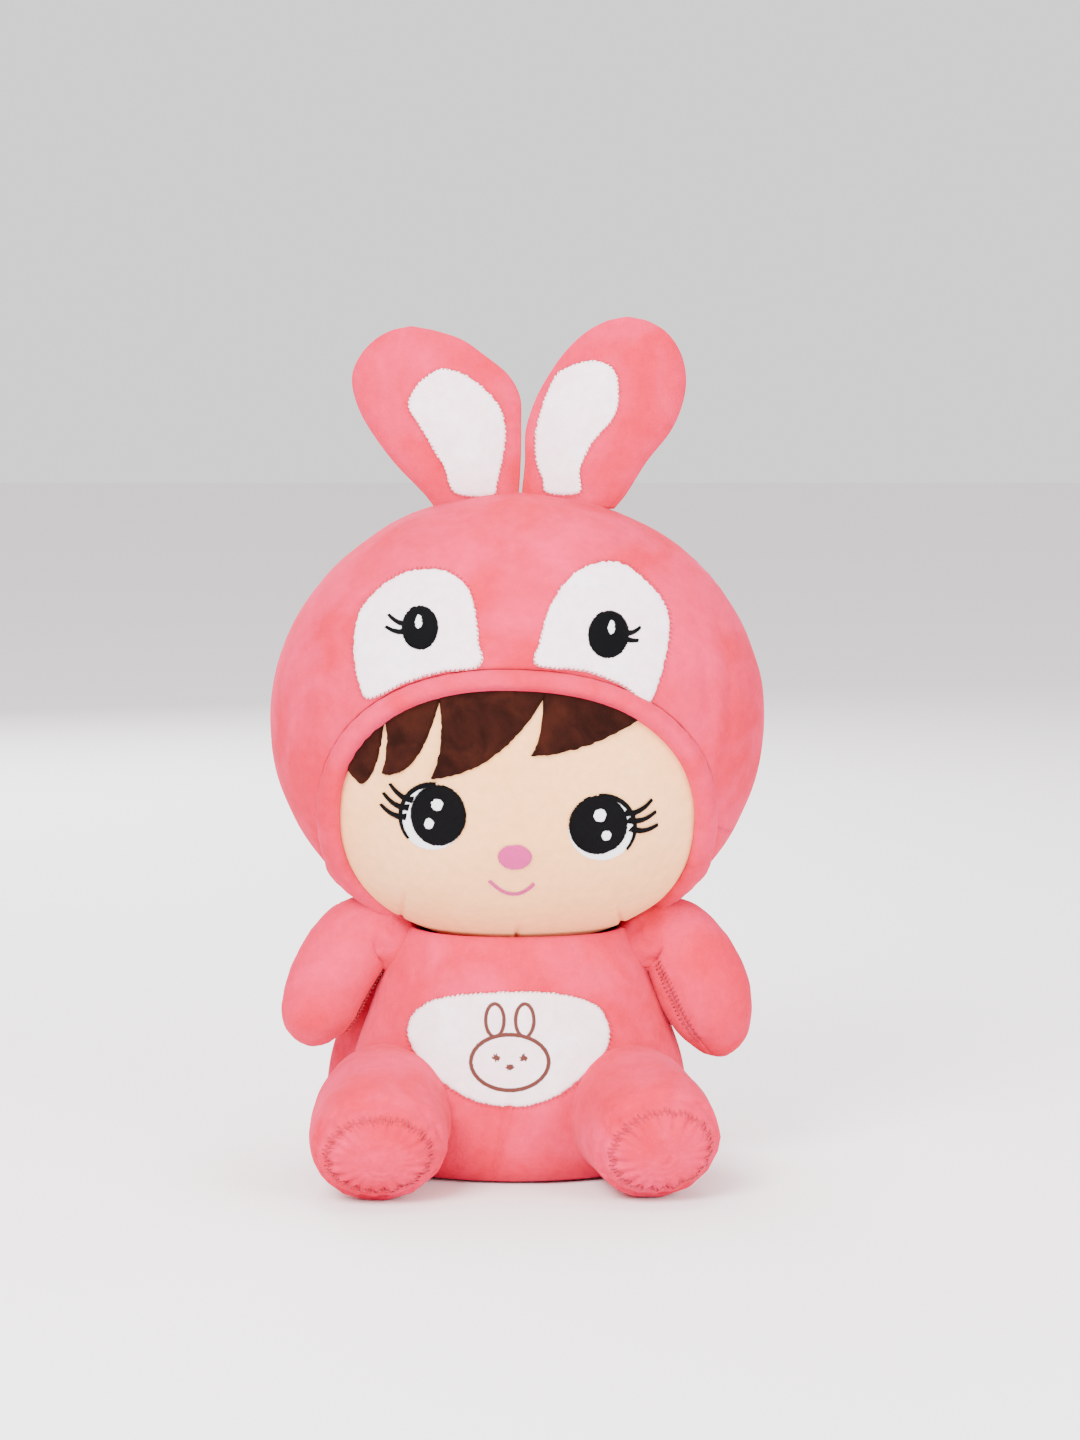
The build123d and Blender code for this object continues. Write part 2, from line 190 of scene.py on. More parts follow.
SIMULATION_SCALE = 10           # cloth settles better when the doll is ten times its size
SETTLING_FRAMES = 20
STUFFING_PRESSURE = 4.0
FURTHEST_MOVE = 2.5             # millimetres


def settled(rings, pinned, drawn):
    """Fills a closed skin, given as rings, and lets its cloth settle: returns the new rings.

    pinned(row) is how firmly a row is held, and drawn(row) is how far its seam thread gathers it.
    """
    count = len(rings[0])
    points = [point * SIMULATION_SCALE for ring in rings for point in ring]
    faces = ring_faces(len(rings), count)
    for row in (0, len(rings) - 1):
        faces += cap_faces(row, count, len(points))
        points.append(middle_of(rings[row]) * SIMULATION_SCALE)
    obj = make_mesh("settling", points, faces)
    face_away(obj, middle_of(points))
    held = obj.vertex_groups.new(name="held")
    gathered = obj.vertex_groups.new(name="gathered")
    for row in range(len(rings)):
        indices = list(range(row * count, (row + 1) * count))
        held.add(indices, pinned(row), "REPLACE")
        gathered.add(indices, drawn(row), "REPLACE")
    root_middle = len(points) - 2
    held.add([root_middle], 1.0, "REPLACE")
    cloth = obj.modifiers.new("cloth", "CLOTH")
    settings = cloth.settings
    settings.quality = 5
    settings.mass = 0.3
    settings.use_pressure = True
    settings.uniform_pressure_force = STUFFING_PRESSURE
    settings.vertex_group_mass = "held"
    settings.vertex_group_shrink = "gathered"
    settings.shrink_min = 0.0
    settings.shrink_max = 0.2
    settings.effector_weights.gravity = 0
    cloth.collision_settings.use_collision = False
    cloth.point_cache.frame_start = 1
    cloth.point_cache.frame_end = SETTLING_FRAMES
    scene = bpy.context.scene
    for tick in range(1, SETTLING_FRAMES + 1):
        scene.frame_set(tick)
    graph = bpy.context.evaluated_depsgraph_get()
    mesh = obj.evaluated_get(graph).to_mesh()
    moved = [v.co / MM / SIMULATION_SCALE for v in mesh.vertices[:count * len(rings)]]
    obj.evaluated_get(graph).to_mesh_clear()
    bpy.data.objects.remove(obj)
    scene.frame_set(1)
    found = []
    for row, ring in enumerate(rings):
        fresh = []
        for i, point in enumerate(ring):
            step = moved[row * count + i] - point
            if step.length > FURTHEST_MOVE:
                step = step.normalized() * FURTHEST_MOVE
            fresh.append(point + step)
        found.append(fresh)
    return found


def finish_piece(obj, material, body, nodes=(), inside=None):
    """Dresses a piece, hangs it on its body and hides the CAD nodes that it stands for."""
    if inside is not None:
        face_away(obj, inside)
    obj.data.materials.clear()
    obj.data.materials.append(material)
    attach(obj, body)
    if nodes:
        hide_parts(*nodes)
    return obj


# ---- materials ----
def shader(name):
    """A new node material: returns it, its tree and its surface shader."""
    material = bpy.data.materials.new(name)
    material.use_nodes = True
    tree = material.node_tree
    return material, tree, tree.nodes["Principled BSDF"]


def set_inputs(node, **values):
    """Sets a node's inputs by name, with underscores for the spaces in it."""
    for name, value in values.items():
        node.inputs[name.replace("_", " ")].default_value = value


def texture(tree, kind, scale, **settings):
    """A texture node laid out by the object's own coordinates."""
    node = tree.nodes.new(kind)
    set_inputs(node, Scale=scale, **settings)
    place = tree.nodes.get("place") or tree.nodes.new("ShaderNodeTexCoord")
    place.name = "place"
    tree.links.new(place.outputs["Object"], node.inputs["Vector"])
    return node


def blend_colours(tree, factor, low, high, dark, light):
    """Two colours mixed where a texture's value runs from low to high."""
    ramp = tree.nodes.new("ShaderNodeValToRGB")
    ramp.color_ramp.elements[0].position = low
    ramp.color_ramp.elements[0].color = (*dark, 1)
    ramp.color_ramp.elements[1].position = high
    ramp.color_ramp.elements[1].color = (*light, 1)
    tree.links.new(factor, ramp.inputs["Fac"])
    return ramp.outputs["Color"]


def add_relief(tree, surface, height, strength, distance):
    """Roughens a surface by a texture's value, with a distance in metres."""
    relief = tree.nodes.new("ShaderNodeBump")
    set_inputs(relief, Strength=strength, Distance=distance)
    tree.links.new(height, relief.inputs["Height"])
    tree.links.new(relief.outputs["Normal"], surface.inputs["Normal"])


def plush(name, dark, light, sheen, sheen_tint, lump=26.0, bump=0.35):
    """Short brushed pile: soft random patches of a darker and a lighter colour, both uneven tone and painted
    sheen where the pile leans different ways, and a pale sheen in the shader.
    """
    material, tree, surface = shader(name)
    sheen_patches = texture(tree, "ShaderNodeTexNoise", lump, Detail=3.0, Roughness=0.55, Distortion=0.6)
    strands = texture(tree, "ShaderNodeTexNoise", 900.0, Detail=2.0, Roughness=0.6)
    tufts = texture(tree, "ShaderNodeTexNoise", 210.0, Detail=4.0, Roughness=0.65)
    # The base colour mixes the darker and the lighter colour in soft random patches: uneven tone and painted
    # sheen of pile that leans different ways.
    colour = blend_colours(tree, sheen_patches.outputs["Fac"], 0.36, 0.66, dark, light)
    fleck = blend_colours(tree, tufts.outputs["Fac"], 0.3, 0.72, (0.86, 0.86, 0.86), (1, 1, 1))
    mix = tree.nodes.new("ShaderNodeMix")
    mix.data_type = "RGBA"
    mix.blend_type = "MULTIPLY"
    mix.inputs["Factor"].default_value = 1.0
    tree.links.new(colour, mix.inputs["A"])
    tree.links.new(fleck, mix.inputs["B"])
    tree.links.new(mix.outputs["Result"], surface.inputs["Base Color"])
    heights = tree.nodes.new("ShaderNodeMath")
    heights.operation = "ADD"
    tree.links.new(strands.outputs["Fac"], heights.inputs[0])
    tree.links.new(tufts.outputs["Fac"], heights.inputs[1])
    add_relief(tree, surface, heights.outputs[0], bump, 0.0006)
    set_inputs(surface, Roughness=0.9, Specular_IOR_Level=0.08, Sheen_Weight=sheen, Sheen_Roughness=0.45,
               Sheen_Tint=(*sheen_tint, 1), Subsurface_Weight=0.06, Subsurface_Radius=(1.0, 0.5, 0.45),
               Subsurface_Scale=0.004)
    return material


def thread(name, dark, light, sheen=0.15, gloss=0.2):
    """Rayon embroidery thread: a tight twist with a soft shine."""
    material, tree, surface = shader(name)
    twist = texture(tree, "ShaderNodeTexWave", 1400.0, Distortion=1.5, Detail=2.0)
    colour = blend_colours(tree, twist.outputs["Fac"], 0.1, 0.9, dark, light)
    tree.links.new(colour, surface.inputs["Base Color"])
    add_relief(tree, surface, twist.outputs["Fac"], 0.3, 0.0002)
    set_inputs(surface, Roughness=0.55, Specular_IOR_Level=gloss, Sheen_Weight=sheen)
    return material


# Each plush gets a darker and a lighter colour. Its random patches between them are uneven tone and painted
# sheen.
PINK = plush("pink_pile", (0.6, 0.001, 0.036), (0.7, 0.014, 0.086), 0.1, (1.0, 0.25, 0.45))
WHITE = plush("white_pile", (0.95, 0.72, 0.78), (0.97, 0.84, 0.88), 0.1, (1, 0.9, 0.93), lump=40.0)
FACE = plush("face_velour", (0.99, 0.47, 0.19), (0.99, 0.53, 0.25), 0.06, (1, 0.7, 0.5), lump=14.0,
             bump=0.12)
BROWN = plush("brown_pile", (0.012, 0.002, 0.001), (0.03, 0.006, 0.003), 0.05, (0.4, 0.15, 0.08),
              lump=60.0)
BLACK_THREAD = thread("black_thread", (0.0002, 0.0002, 0.0002), (0.002, 0.002, 0.003), sheen=0.0,
                      gloss=0.06)
WHITE_THREAD = thread("white_thread", (0.78, 0.78, 0.8), (0.9, 0.9, 0.92))
ROSE_THREAD = thread("rose_thread", (0.42, 0.012, 0.14), (0.6, 0.035, 0.24))
BROWN_THREAD = thread("brown_thread", (0.06, 0.01, 0.006), (0.14, 0.03, 0.02))
SEAM_THREAD = thread("seam_thread", (0.36, 0.004, 0.02), (0.5, 0.012, 0.045))
STUFFING = plush("polyester_fibre", (0.78, 0.78, 0.76), (0.9, 0.9, 0.88), 0.3, (1, 1, 1), lump=60.0)
RIBBON = plush("label_ribbon", (0.8, 0.8, 0.79), (0.88, 0.88, 0.87), 0.1, (1, 1, 1), bump=0.1)


# ---- the head's surface ----
def opening_point(angle, grow):
    """A point of the face opening, grown or shrunk, seen from the front: x and z."""
    c, s = cos(angle), sin(angle)
    power = 2 / OPENING_SQUARE
    x = copysign(abs(c) ** power, c) * (OPENING_HALF[0] + grow)
    z = copysign(abs(s) ** power, s) * (OPENING_HALF[1] + grow)
    turned_x = x * cos(OPENING_TILT) - z * sin(OPENING_TILT)
    turned_z = x * sin(OPENING_TILT) + z * cos(OPENING_TILT)
    return OPENING_CENTRE[0] + turned_x, OPENING_CENTRE[1] + turned_z


def front_direction(x, z, half=HOOD_HALF):
    """The direction from the head's middle to its front surface at this x and z."""
    u = x / half.x
    w = (z - HEAD_CENTRE.z) / half.z
    flat = hypot(u, w)
    if flat >= 1:
        return Vector((u / flat, 0, w / flat))
    return Vector((u, -sqrt(1 - flat * flat), w))


def pressed(z):
    """Flattens what hangs below the neck seam, with a soft bend."""
    soft = 4
    if z > HEAD_UNDERSIDE + soft:
        return z
    return HEAD_UNDERSIDE + max(z - HEAD_UNDERSIDE + soft, 0) ** 2 / (4 * soft)


def on_form(direction, half, lift):
    """The point of the head's ellipsoid in a direction, lifted off its surface."""
    d = direction.normalized()
    point = Vector((d.x * half.x, d.y * half.y, d.z * half.z))
    normal = Vector((d.x / half.x, d.y / half.y, d.z / half.z)).normalized()
    found = HEAD_CENTRE + point + normal * lift
    found.z = pressed(found.z)
    return found


CHEEK_HEIGHT = 215
HOOD_FOLDS = ((84, -0.0035), (95, -0.0045), (-92, 0.004))    # x at the height of the cheeks, and bow
SEAM_WIDTH = 2.6


def hood_lift(point):
    """Uneven stuffing and the grooves of the hood's seams."""
    lumps = 0.9 * mottled(point, 46, 3) + 0.35 * mottled(point, 17, 9)
    side_seam = groove(point.y - SIDE_SEAM_Y, SEAM_WIDTH)
    back_seam = groove(point.x - HEAD_CENTRE.x, SEAM_WIDTH) if point.y > SIDE_SEAM_Y else 0
    puckers = 0.35 * sin(point.z * 0.9) * groove(point.y - SIDE_SEAM_Y, 7)
    for x, bow in HOOD_FOLDS:
        if point.y < 0:
            across = point.x - x - bow * (point.z - CHEEK_HEIGHT) ** 2
            lumps -= 0.8 * groove(across, SEAM_WIDTH) * groove(point.z - CHEEK_HEIGHT, 34)
    return lumps - 1.5 * max(side_seam, back_seam) + puckers


def slerp(start, end, share):
    """The direction that is this share of the way round from start to end."""
    angle = start.angle(end)
    if angle < 1e-5:
        return start.copy()
    return (start * sin((1 - share) * angle) + end * sin(share * angle)) / sin(angle)


BACK = Vector((0, 1, 0))
NEARLY_BACK = 0.9995            # where the panels stop, so that no face shrinks to a point


def seam_share(start):
    """How far along the way to the back of the head the side seam lies."""
    low, high = 0.0, 1.0
    for _ in range(24):
        middle = (low + high) / 2
        if slerp(start, BACK, middle).y * HOOD_HALF.y < SIDE_SEAM_Y:
            low = middle
        else:
            high = middle
    return low


def hood_sheet(name, from_angle, to_angle, count, rows, behind):
    """A panel of the hood, from the band's seam to the side seam, or from there to the back."""
    rings = []
    angles = [from_angle + (to_angle - from_angle) * i / count for i in range(count + 1)]
    starts = [front_direction(*opening_point(a, BAND_WIDTH)) for a in angles]
    seams = [seam_share(start) for start in starts]
    for row in range(rows + 1):
        ring = []
        for start, seam in zip(starts, seams):
            share = row / rows
            way = seam + (1 - seam) * share if behind else seam * share
            direction = slerp(start, BACK, min(way, NEARLY_BACK))
            bare = on_form(direction, HOOD_HALF, 0)
            edge = 0 if behind else groove(share * 40, 3.0)
            ring.append(on_form(direction, HOOD_HALF, hood_lift(bare) - 0.9 * edge))
        rings.append(ring)
    obj = rings_mesh(name, rings, closed=False)
    thicken(obj, HOOD_CLOTH, HEAD_CENTRE)
    return obj


def build_hood():
    """The hood's front and its two back panels."""
    front = hood_sheet("hood_front", 0, tau, 260, 70, behind=False)
    finish_piece(front, PINK, "head", ["hood_front_panel"])
    for side, start, end in (("right", -tau / 4, tau / 4), ("left", tau / 4, 3 * tau / 4)):
        back = hood_sheet(f"hood_back_{side}", start, end, 110, 70, behind=True)
        finish_piece(back, PINK, "head", [f"hood_back_{side}_panel"])


# The brim's profile: how far it is across the band towards the opening, and how high.
BAND_PROFILE = ((0, -1.2), (0.05, -0.2), (0.14, 1.0), (0.3, 2.3), (0.5, 3.0), (0.7, 2.9), (0.86, 2.1),
                (0.97, 0.6), (1.0, -1.2), (0.96, -3.0), (0.8, -4.6), (0.55, -5.2))


def band_rings():
    """The folded brim: up from its seam, over, and back under its own edge."""
    rings = []
    count = 300
    for across, height in BAND_PROFILE:
        ring = []
        for i in range(count):
            angle = tau * i / count
            outer = front_direction(*opening_point(angle, BAND_WIDTH))
            inner = front_direction(*opening_point(angle, 0))
            room = min((outer - inner).length * 9, 1)
            direction = slerp(outer, inner, across) if room > 0.02 else outer
            pucker = 0.22 * sin(i * 1.26) * (1 - across)
            bare = on_form(direction, HOOD_HALF, 0)
            overhang = 1 + 0.9 * smooth(sin(angle), 0.1, 0.9)
            lift = (height * overhang + pucker) * (0.35 + 0.65 * room) + 0.4 * mottled(bare, 14, 5)
            ring.append(on_form(direction, HOOD_HALF, lift))
        rings.append(ring)
    return rings


def build_band():
    """The brim, as one closed roll of cloth."""
    band = rings_mesh("hood_brim", band_rings())
    finish_piece(band, PINK, "head", ["hood_brim_band"])


# ---- face ----
CHIN_DARTS = ((0, 106, 0.12), (47, 113, -0.25), (-50, 122, 0.2))    # x and z of the foot, and lean


def face_lift(point):
    """Cheeks, a soft chin, and three small darts that shape it."""
    lift = 0.5 * mottled(point, 40, 11)
    for side in (-1, 1):
        lift += 1.6 * exp(-(((point.x - side * 44) / 26) ** 2 + ((point.z - 138) / 22) ** 2))
    lift += 1.2 * exp(-((point.x / 16) ** 2 + ((point.z - 150) / 12) ** 2))
    for x, z, lean in CHIN_DARTS:
        across = (point.x - x) - lean * (point.z - z)
        lift -= 1.4 * groove(across, 1.0) * (1 - smooth(point.z, z + 2, z + 13))
    return lift


def head_surface(half, shape):
    """A function for the point at this x and z on the front of one of the head's forms, and lifted off it."""
    def surface(x, z, lift):
        direction = front_direction(x - HEAD_CENTRE.x, z, half)
        return on_form(direction, half, shape(on_form(direction, half, 0)) + lift)
    return surface


on_face = head_surface(FACE_HALF, face_lift)
on_hood = head_surface(HOOD_HALF, hood_lift)
FACE_TUCK = 5                   # face cloth hidden under the band


def build_face():
    """The face, from under the band to its middle."""
    count, rows = 400, 110
    centre = front_direction(*OPENING_CENTRE, FACE_HALF)
    edges = [front_direction(*opening_point(tau * i / count, FACE_TUCK)) for i in range(count)]
    rings = []
    for row in range(rows, 0, -1):
        directions = (slerp(centre, edge, row / rows) for edge in edges)
        rings.append([on_form(d, FACE_HALF, face_lift(on_form(d, FACE_HALF, 0))) for d in directions])
    face = rings_mesh("face", rings, end_cap=True)
    thicken(face, FACE_CLOTH, HEAD_CENTRE)
    finish_piece(face, FACE, "head", ["face_panel"])


# ---- patches, satin stitch and seam stitches ----
def smooth_loop(points, steps):
    """A closed smooth curve through a few points: x and z pairs."""
    count = len(points)
    loop = []
    for i in range(count):
        p0, p1, p2, p3 = (Vector(points[(i + k - 1) % count]) for k in range(4))
        for step in range(steps):
            t = step / steps
            loop.append(0.5 * ((2 * p1) + (p2 - p0) * t + (2 * p0 - 5 * p1 + 4 * p2 - p3) * t * t
                               + (3 * p1 - p0 - 3 * p2 + p3) * t ** 3))
    return loop


FAN_RINGS = 26


def fan_piece(name, loop, surface, height, fuzz, hub=None):
    """A padded patch that fills a loop: full height inside, rounded to nothing at a fuzzy edge."""
    hub = Vector(hub) if hub else sum(loop, Vector((0, 0))) / len(loop)
    rings = []
    jitter = [1 + fuzz * random.uniform(-1, 1) / max((p - hub).length, 1) for p in loop]
    for row in range(1, FAN_RINGS + 1):
        share = row / FAN_RINGS
        ring = []
        for point, rough in zip(loop, jitter):
            reach = share * (1 + (rough - 1) * smooth(share, 0.9, 1))
            x, z = hub + (point - hub) * reach
            inside = (1 - share) * (point - hub).length
            ring.append(surface(x, z, height * min(1, inside / height / 1.2) ** 0.5 - 0.25))
        rings.append(ring)
    rings.reverse()
    rings.insert(0, [surface(*(hub + (p - hub)), -1.2) for p in loop])
    return rings_mesh(name, rings, end_cap=True)


def ridge(points, faces, line, width, height, surface, lift, sides=5):
    """Adds one laid thread along a short line on a surface."""
    start = len(points)
    count = len(line)
    for index, (x, z) in enumerate(line):
        before = Vector(line[max(index - 1, 0)])
        after = Vector(line[min(index + 1, count - 1)])
        along = (after - before).normalized()
        side = Vector((-along.y, along.x))
        taper = 0.7 if index in (0, count - 1) else 1
        for step in range(sides + 1):
            turn = pi * step / sides
            shift = cos(turn) * width / 2 * taper
            points.append(surface(x + side.x * shift, z + side.y * shift,
                                  sin(turn) * height * taper + 0.02 + lift))
    ring = sides + 1
    for index in range(count - 1):
        for step in range(sides):
            a = start + index * ring + step
            faces.append((a, a + ring, a + ring + 1, a + 1))


def tube(points, faces, line, radius):
    """Adds a thread that follows a line through space."""
    sides = 6
    start = len(points)
    for index, spot in enumerate(line):
        before = Vector(line[max(index - 1, 0)])
        after = Vector(line[min(index + 1, len(line) - 1)])
        run = (after - before).normalized()
        first = run.orthogonal().normalized()
        second = run.cross(first)
        for step in range(sides):
            turn = tau * step / sides
            points.append(Vector(spot) + (first * cos(turn) + second * sin(turn)) * radius)
    for index in range(len(line) - 1):
        for step in range(sides):
            a = start + index * sides + step
            b = start + index * sides + (step + 1) % sides
            faces.append((a, b, b + sides, a + sides))


def satin_oval(name, centre, half, surface, lift, slant=0.5):
    """An oval filled with parallel laid threads, slightly uneven at its rim."""
    points, faces = [], []
    pitch = 0.62
    probes = 160                # places looked at each way along a thread to find the oval's rim
    reach = max(half)
    rows = int(2 * reach / pitch) + 2
    c, s = cos(slant), sin(slant)
    for row in range(rows):
        offset = -reach + row * pitch
        hits = []
        for k in range(-probes, probes + 1):
            run = k / probes * reach
            x, z = run * c - offset * s, run * s + offset * c
            if (x / half[0]) ** 2 + (z / half[1]) ** 2 <= 1:
                hits.append(run)
        if len(hits) < 3:
            continue
        low = hits[0] - random.uniform(0, 0.3)
        high = hits[-1] + random.uniform(0, 0.3)
        cuts = max(3, int((high - low) / 1.6))
        line = []
        for k in range(cuts + 1):
            run = low + (high - low) * k / cuts
            line.append((centre[0] + run * c - offset * s, centre[1] + run * s + offset * c))
        ridge(points, faces, line, pitch * 1.25, 0.38, surface, lift)
    return make_mesh(name, points, faces)


def satin_line(name, paths, surface, lift, pitch=0.55, slant=0.35, thread_width=None):
    """Short threads laid across paths; each path is its line and its widths at both ends."""
    thread_width = thread_width or pitch * 1.35
    points, faces = [], []
    for line, start_width, end_width in paths:
        run = [Vector(p) for p in line]
        lengths = [0]
        for a, b in zip(run, run[1:]):
            lengths.append(lengths[-1] + (b - a).length)
        count = max(2, int(lengths[-1] / pitch))
        for k in range(count + 1):
            at = lengths[-1] * k / count
            index = max(i for i in range(len(run) - 1) if lengths[i] <= at + 1e-9)
            part = (at - lengths[index]) / (lengths[index + 1] - lengths[index])
            spot = run[index].lerp(run[index + 1], part)
            along = (run[index + 1] - run[index]).normalized()
            across = Vector((-along.y, along.x)) + along * slant
            across.normalize()
            width = start_width + (end_width - start_width) * k / count
            low = spot - across * (width / 2 + random.uniform(0, 0.12))
            high = spot + across * (width / 2 + random.uniform(0, 0.12))
            ridge(points, faces, (low, (low + high) / 2, high), thread_width, 0.32, surface, lift, sides=4)
    return make_mesh(name, points, faces)


def arc_line(start, middle, end, count=14):
    """A smooth line through three points."""
    a, m, b = Vector(start), Vector(middle), Vector(end)
    control = 2 * m - (a + b) / 2
    return [(a * (1 - t) ** 2 + control * 2 * t * (1 - t) + b * t * t)
            for t in (k / count for k in range(count + 1))]


# Outlines are x and z pairs, ovals are a middle and two half widths, and strokes are three points.
HOOD_PATCHES = {
    "left": ((-63.5, 218), (-68.4, 225), (-71, 240), (-68.4, 254.7), (-62, 263), (-54, 269.4),
             (-44.7, 273.1), (-34, 273.8), (-25.8, 271.5), (-19.6, 265.4), (-16.9, 256.3), (-15.6, 245),
             (-15.1, 233.5), (-32, 230.5), (-47, 225.6)),
    "right": ((9.1, 234), (10.8, 244.6), (13.8, 256.3), (19.9, 266.7), (28.2, 274), (38.8, 277),
              (48, 275.5), (57.6, 268.1), (64.2, 260.4), (67.2, 252.3), (66.6, 241), (63.4, 228.1),
              (57.8, 216.5), (46.3, 224.5), (30, 231)),
}
HOOD_EYES = {"left": ((-40.9, 248.9), (7.9, 9.2)), "right": ((40.1, 246.1), (8.8, 9.8))}
HOOD_GLINTS = {"left": ((-41.5, 251.4), (1.4, 2.7)), "right": ((41.2, 249), (1.4, 2.7))}
HOOD_LASHES = {
    "left": (((-46.5, 250.5), (-50.5, 251), (-54.5, 253.8)), ((-47.5, 247.5), (-51, 247), (-55.6, 248.8))),
    "right": (((46.5, 247), (50, 246.5), (53.8, 248.6)), ((47.5, 244), (50, 243.3), (52.8, 243.2))),
}
EYE_WHITES = {"left": ((-36, 167), (13.9, 14.6)), "right": ((37.6, 162), (14.3, 14.4))}
EYE_IRISES = {"left": ((-33.3, 168), (12.1, 13.6)), "right": ((35.9, 163.6), (12.7, 13.1))}
EYE_GLINTS = {
    "left": (((-33.6, 172.8), (2.5, 2.5)), ((-37.2, 164.3), (2.1, 2.2))),
    "right": (((36.7, 168), (2.6, 2.7)), ((39.5, 158.9), (2, 2))),
}
NOSE = ((-0.1, 149.8), (7.2, 5.8))
SMILE = ((-11.1, 138), (-1.2, 131.6), (8, 136.6))
EYE_LASHES = {
    "left": (((-44.5, 174.5), (-49.5, 176), (-54.3, 181)), ((-46.3, 171), (-52, 172), (-57.2, 176.8)),
             ((-47.5, 166.8), (-53, 167.5), (-58.4, 171.6))),
    "right": (((47.5, 168.5), (53.5, 169), (59.3, 173.8)), ((49, 165.2), (55, 165), (61, 168.3)),
              ((50.2, 161.4), (56, 160.2), (61.8, 162.4))),
}


def join(name, objects):
    """Joins meshes into the first and names it."""
    with bpy.context.temp_override(active_object=objects[0], selected_editable_objects=objects):
        bpy.ops.object.join()
    objects[0].name = name
    return objects[0]


def edge_stitches(name, loop, surface, body, inside):
    """The row of pink stitches that holds a white patch down along its edge."""
    closed = loop + loop[:1]
    seam = satin_line(name, [(closed, 1.5, 1.5)], surface, 0.8, pitch=2.0, slant=0.7, thread_width=0.5)
    return finish_piece(seam, SEAM_THREAD, body, inside=inside)


def sew_on_head(obj, material, node):
    """Finishes a patch or a block of embroidery that lies on the head."""
    finish_piece(obj, material, "head", [node], inside=HEAD_CENTRE)


def build_hood_eyes():
    """The hood's two white patches, each with its embroidered eye."""
    for side in SIDES:
        loop = smooth_loop(HOOD_PATCHES[side], 16)
        patch = fan_piece(f"hood_{side}_patch", loop, on_hood, 1.3, PATCH_FUZZ)
        sew_on_head(patch, WHITE, f"hood_{side}_eye_patch")
        edge_stitches(f"hood_{side}_patch_stitches", loop, on_hood, "head", HEAD_CENTRE)
        eye = satin_oval("eye", *HOOD_EYES[side], on_hood, 1.15)
        strokes = [(arc_line(*row), 2.6, 1.4) for row in HOOD_LASHES[side]]
        lashes = satin_line("lashes", strokes, on_hood, 1.25)
        eye = join(f"hood_{side}_eye", [eye, lashes])
        sew_on_head(eye, BLACK_THREAD, f"hood_{side}_eye_embroidery")
        glint = satin_oval(f"hood_{side}_eye_spark", *HOOD_GLINTS[side], on_hood, 1.5, slant=1.2)
        sew_on_head(glint, WHITE_THREAD, f"hood_{side}_eye_glint")


def build_face_eyes():
    """The doll's eyes: white, dark disc, glints, then lashes with the lid's line."""
    for side, sign in SIDES.items():
        centre, half = EYE_WHITES[side]
        white = satin_oval(f"{side}_eye_sclera", centre, half, on_face, 0.1, slant=0.9)
        sew_on_head(white, WHITE_THREAD, f"{side}_eye_white")
        lid = [(centre[0] + half[0] * cos(a), centre[1] + half[1] * sin(a))
               for a in (radians(90 + sign * (5 - 6.2 * k)) for k in range(23))]
        iris = satin_oval(f"{side}_eye_disc", *EYE_IRISES[side], on_face, 0.4, slant=0.4 * sign)
        sew_on_head(iris, BLACK_THREAD, f"{side}_eye_iris")
        sparks = [satin_oval("spark", *oval, on_face, 0.75, slant=1.2) for oval in EYE_GLINTS[side]]
        sparks = join(f"{side}_eye_sparks", sparks)
        sew_on_head(sparks, WHITE_THREAD, f"{side}_eye_glints")
        strokes = [(arc_line(*row), 3.1, 1.5) for row in EYE_LASHES[side]]
        strokes.append((lid, 2.6, 1.3))
        lashes = satin_line(f"{side}_eye_lash_threads", strokes, on_face, 0.5)
        sew_on_head(lashes, BLACK_THREAD, f"{side}_eye_lashes")


def build_nose_and_mouth():
    """A rose nose, and a smile of one stitched line."""
    nose = satin_oval("nose_satin", *NOSE, on_face, 0.5, slant=0.1)
    sew_on_head(nose, ROSE_THREAD, "nose_embroidery")
    mouth = satin_line("mouth_satin", [(arc_line(*SMILE, 24), 1.6, 1.6)], on_face, 0.2)
    sew_on_head(mouth, ROSE_THREAD, "mouth_embroidery")


# ---- fringe ----
# Locks of hair: left root, hollow edge, tip, full edge, right root and crown.
FRINGE = {
    "far_left": ((-80, 196), (-74, 186.8), (-67.5, 179.8), (-60.5, 190), (-56.5, 214), (-68, 210)),
    "left": ((-57.5, 216), (-55.6, 200), (-57.8, 185.2), (-43, 192.8), (-32, 221), (-45, 222)),
    "middle": ((-33.6, 222), (-32, 201), (-36.7, 184), (-8, 195.5), (15, 224), (-8, 230)),
    "right": ((12, 226), (11, 206), (6.7, 194.6), (32, 199.2), (60, 213), (36, 224)),
}


def build_fringe():
    """Four locks of hair, combed by a low wave that runs along them."""
    for order, (name, (root_left, hollow, tip, belly, root_right, crown)) in enumerate(FRINGE.items()):
        loop = arc_line(root_left, hollow, tip, 26)[:-1] + arc_line(tip, belly, root_right, 40)[:-1]
        loop += arc_line(root_right, crown, root_left, 20)[:-1]
        hub = (Vector(hollow) + Vector(belly) + Vector(crown) + Vector(tip) * 0.4) / 3.4

        def surface(x, z, lift, order=order):
            strand = 0.35 * sin((x * 0.8 + z * 0.55) * 1.1 + order) * smooth(225 - z, 0, 20)
            return on_face(x, z, lift + strand + 0.9)
        lock = fan_piece(f"fringe_{name}", loop, surface, 1.9, 0.35, hub=hub)
        sew_on_head(lock, BROWN, f"fringe_{name}_lock")


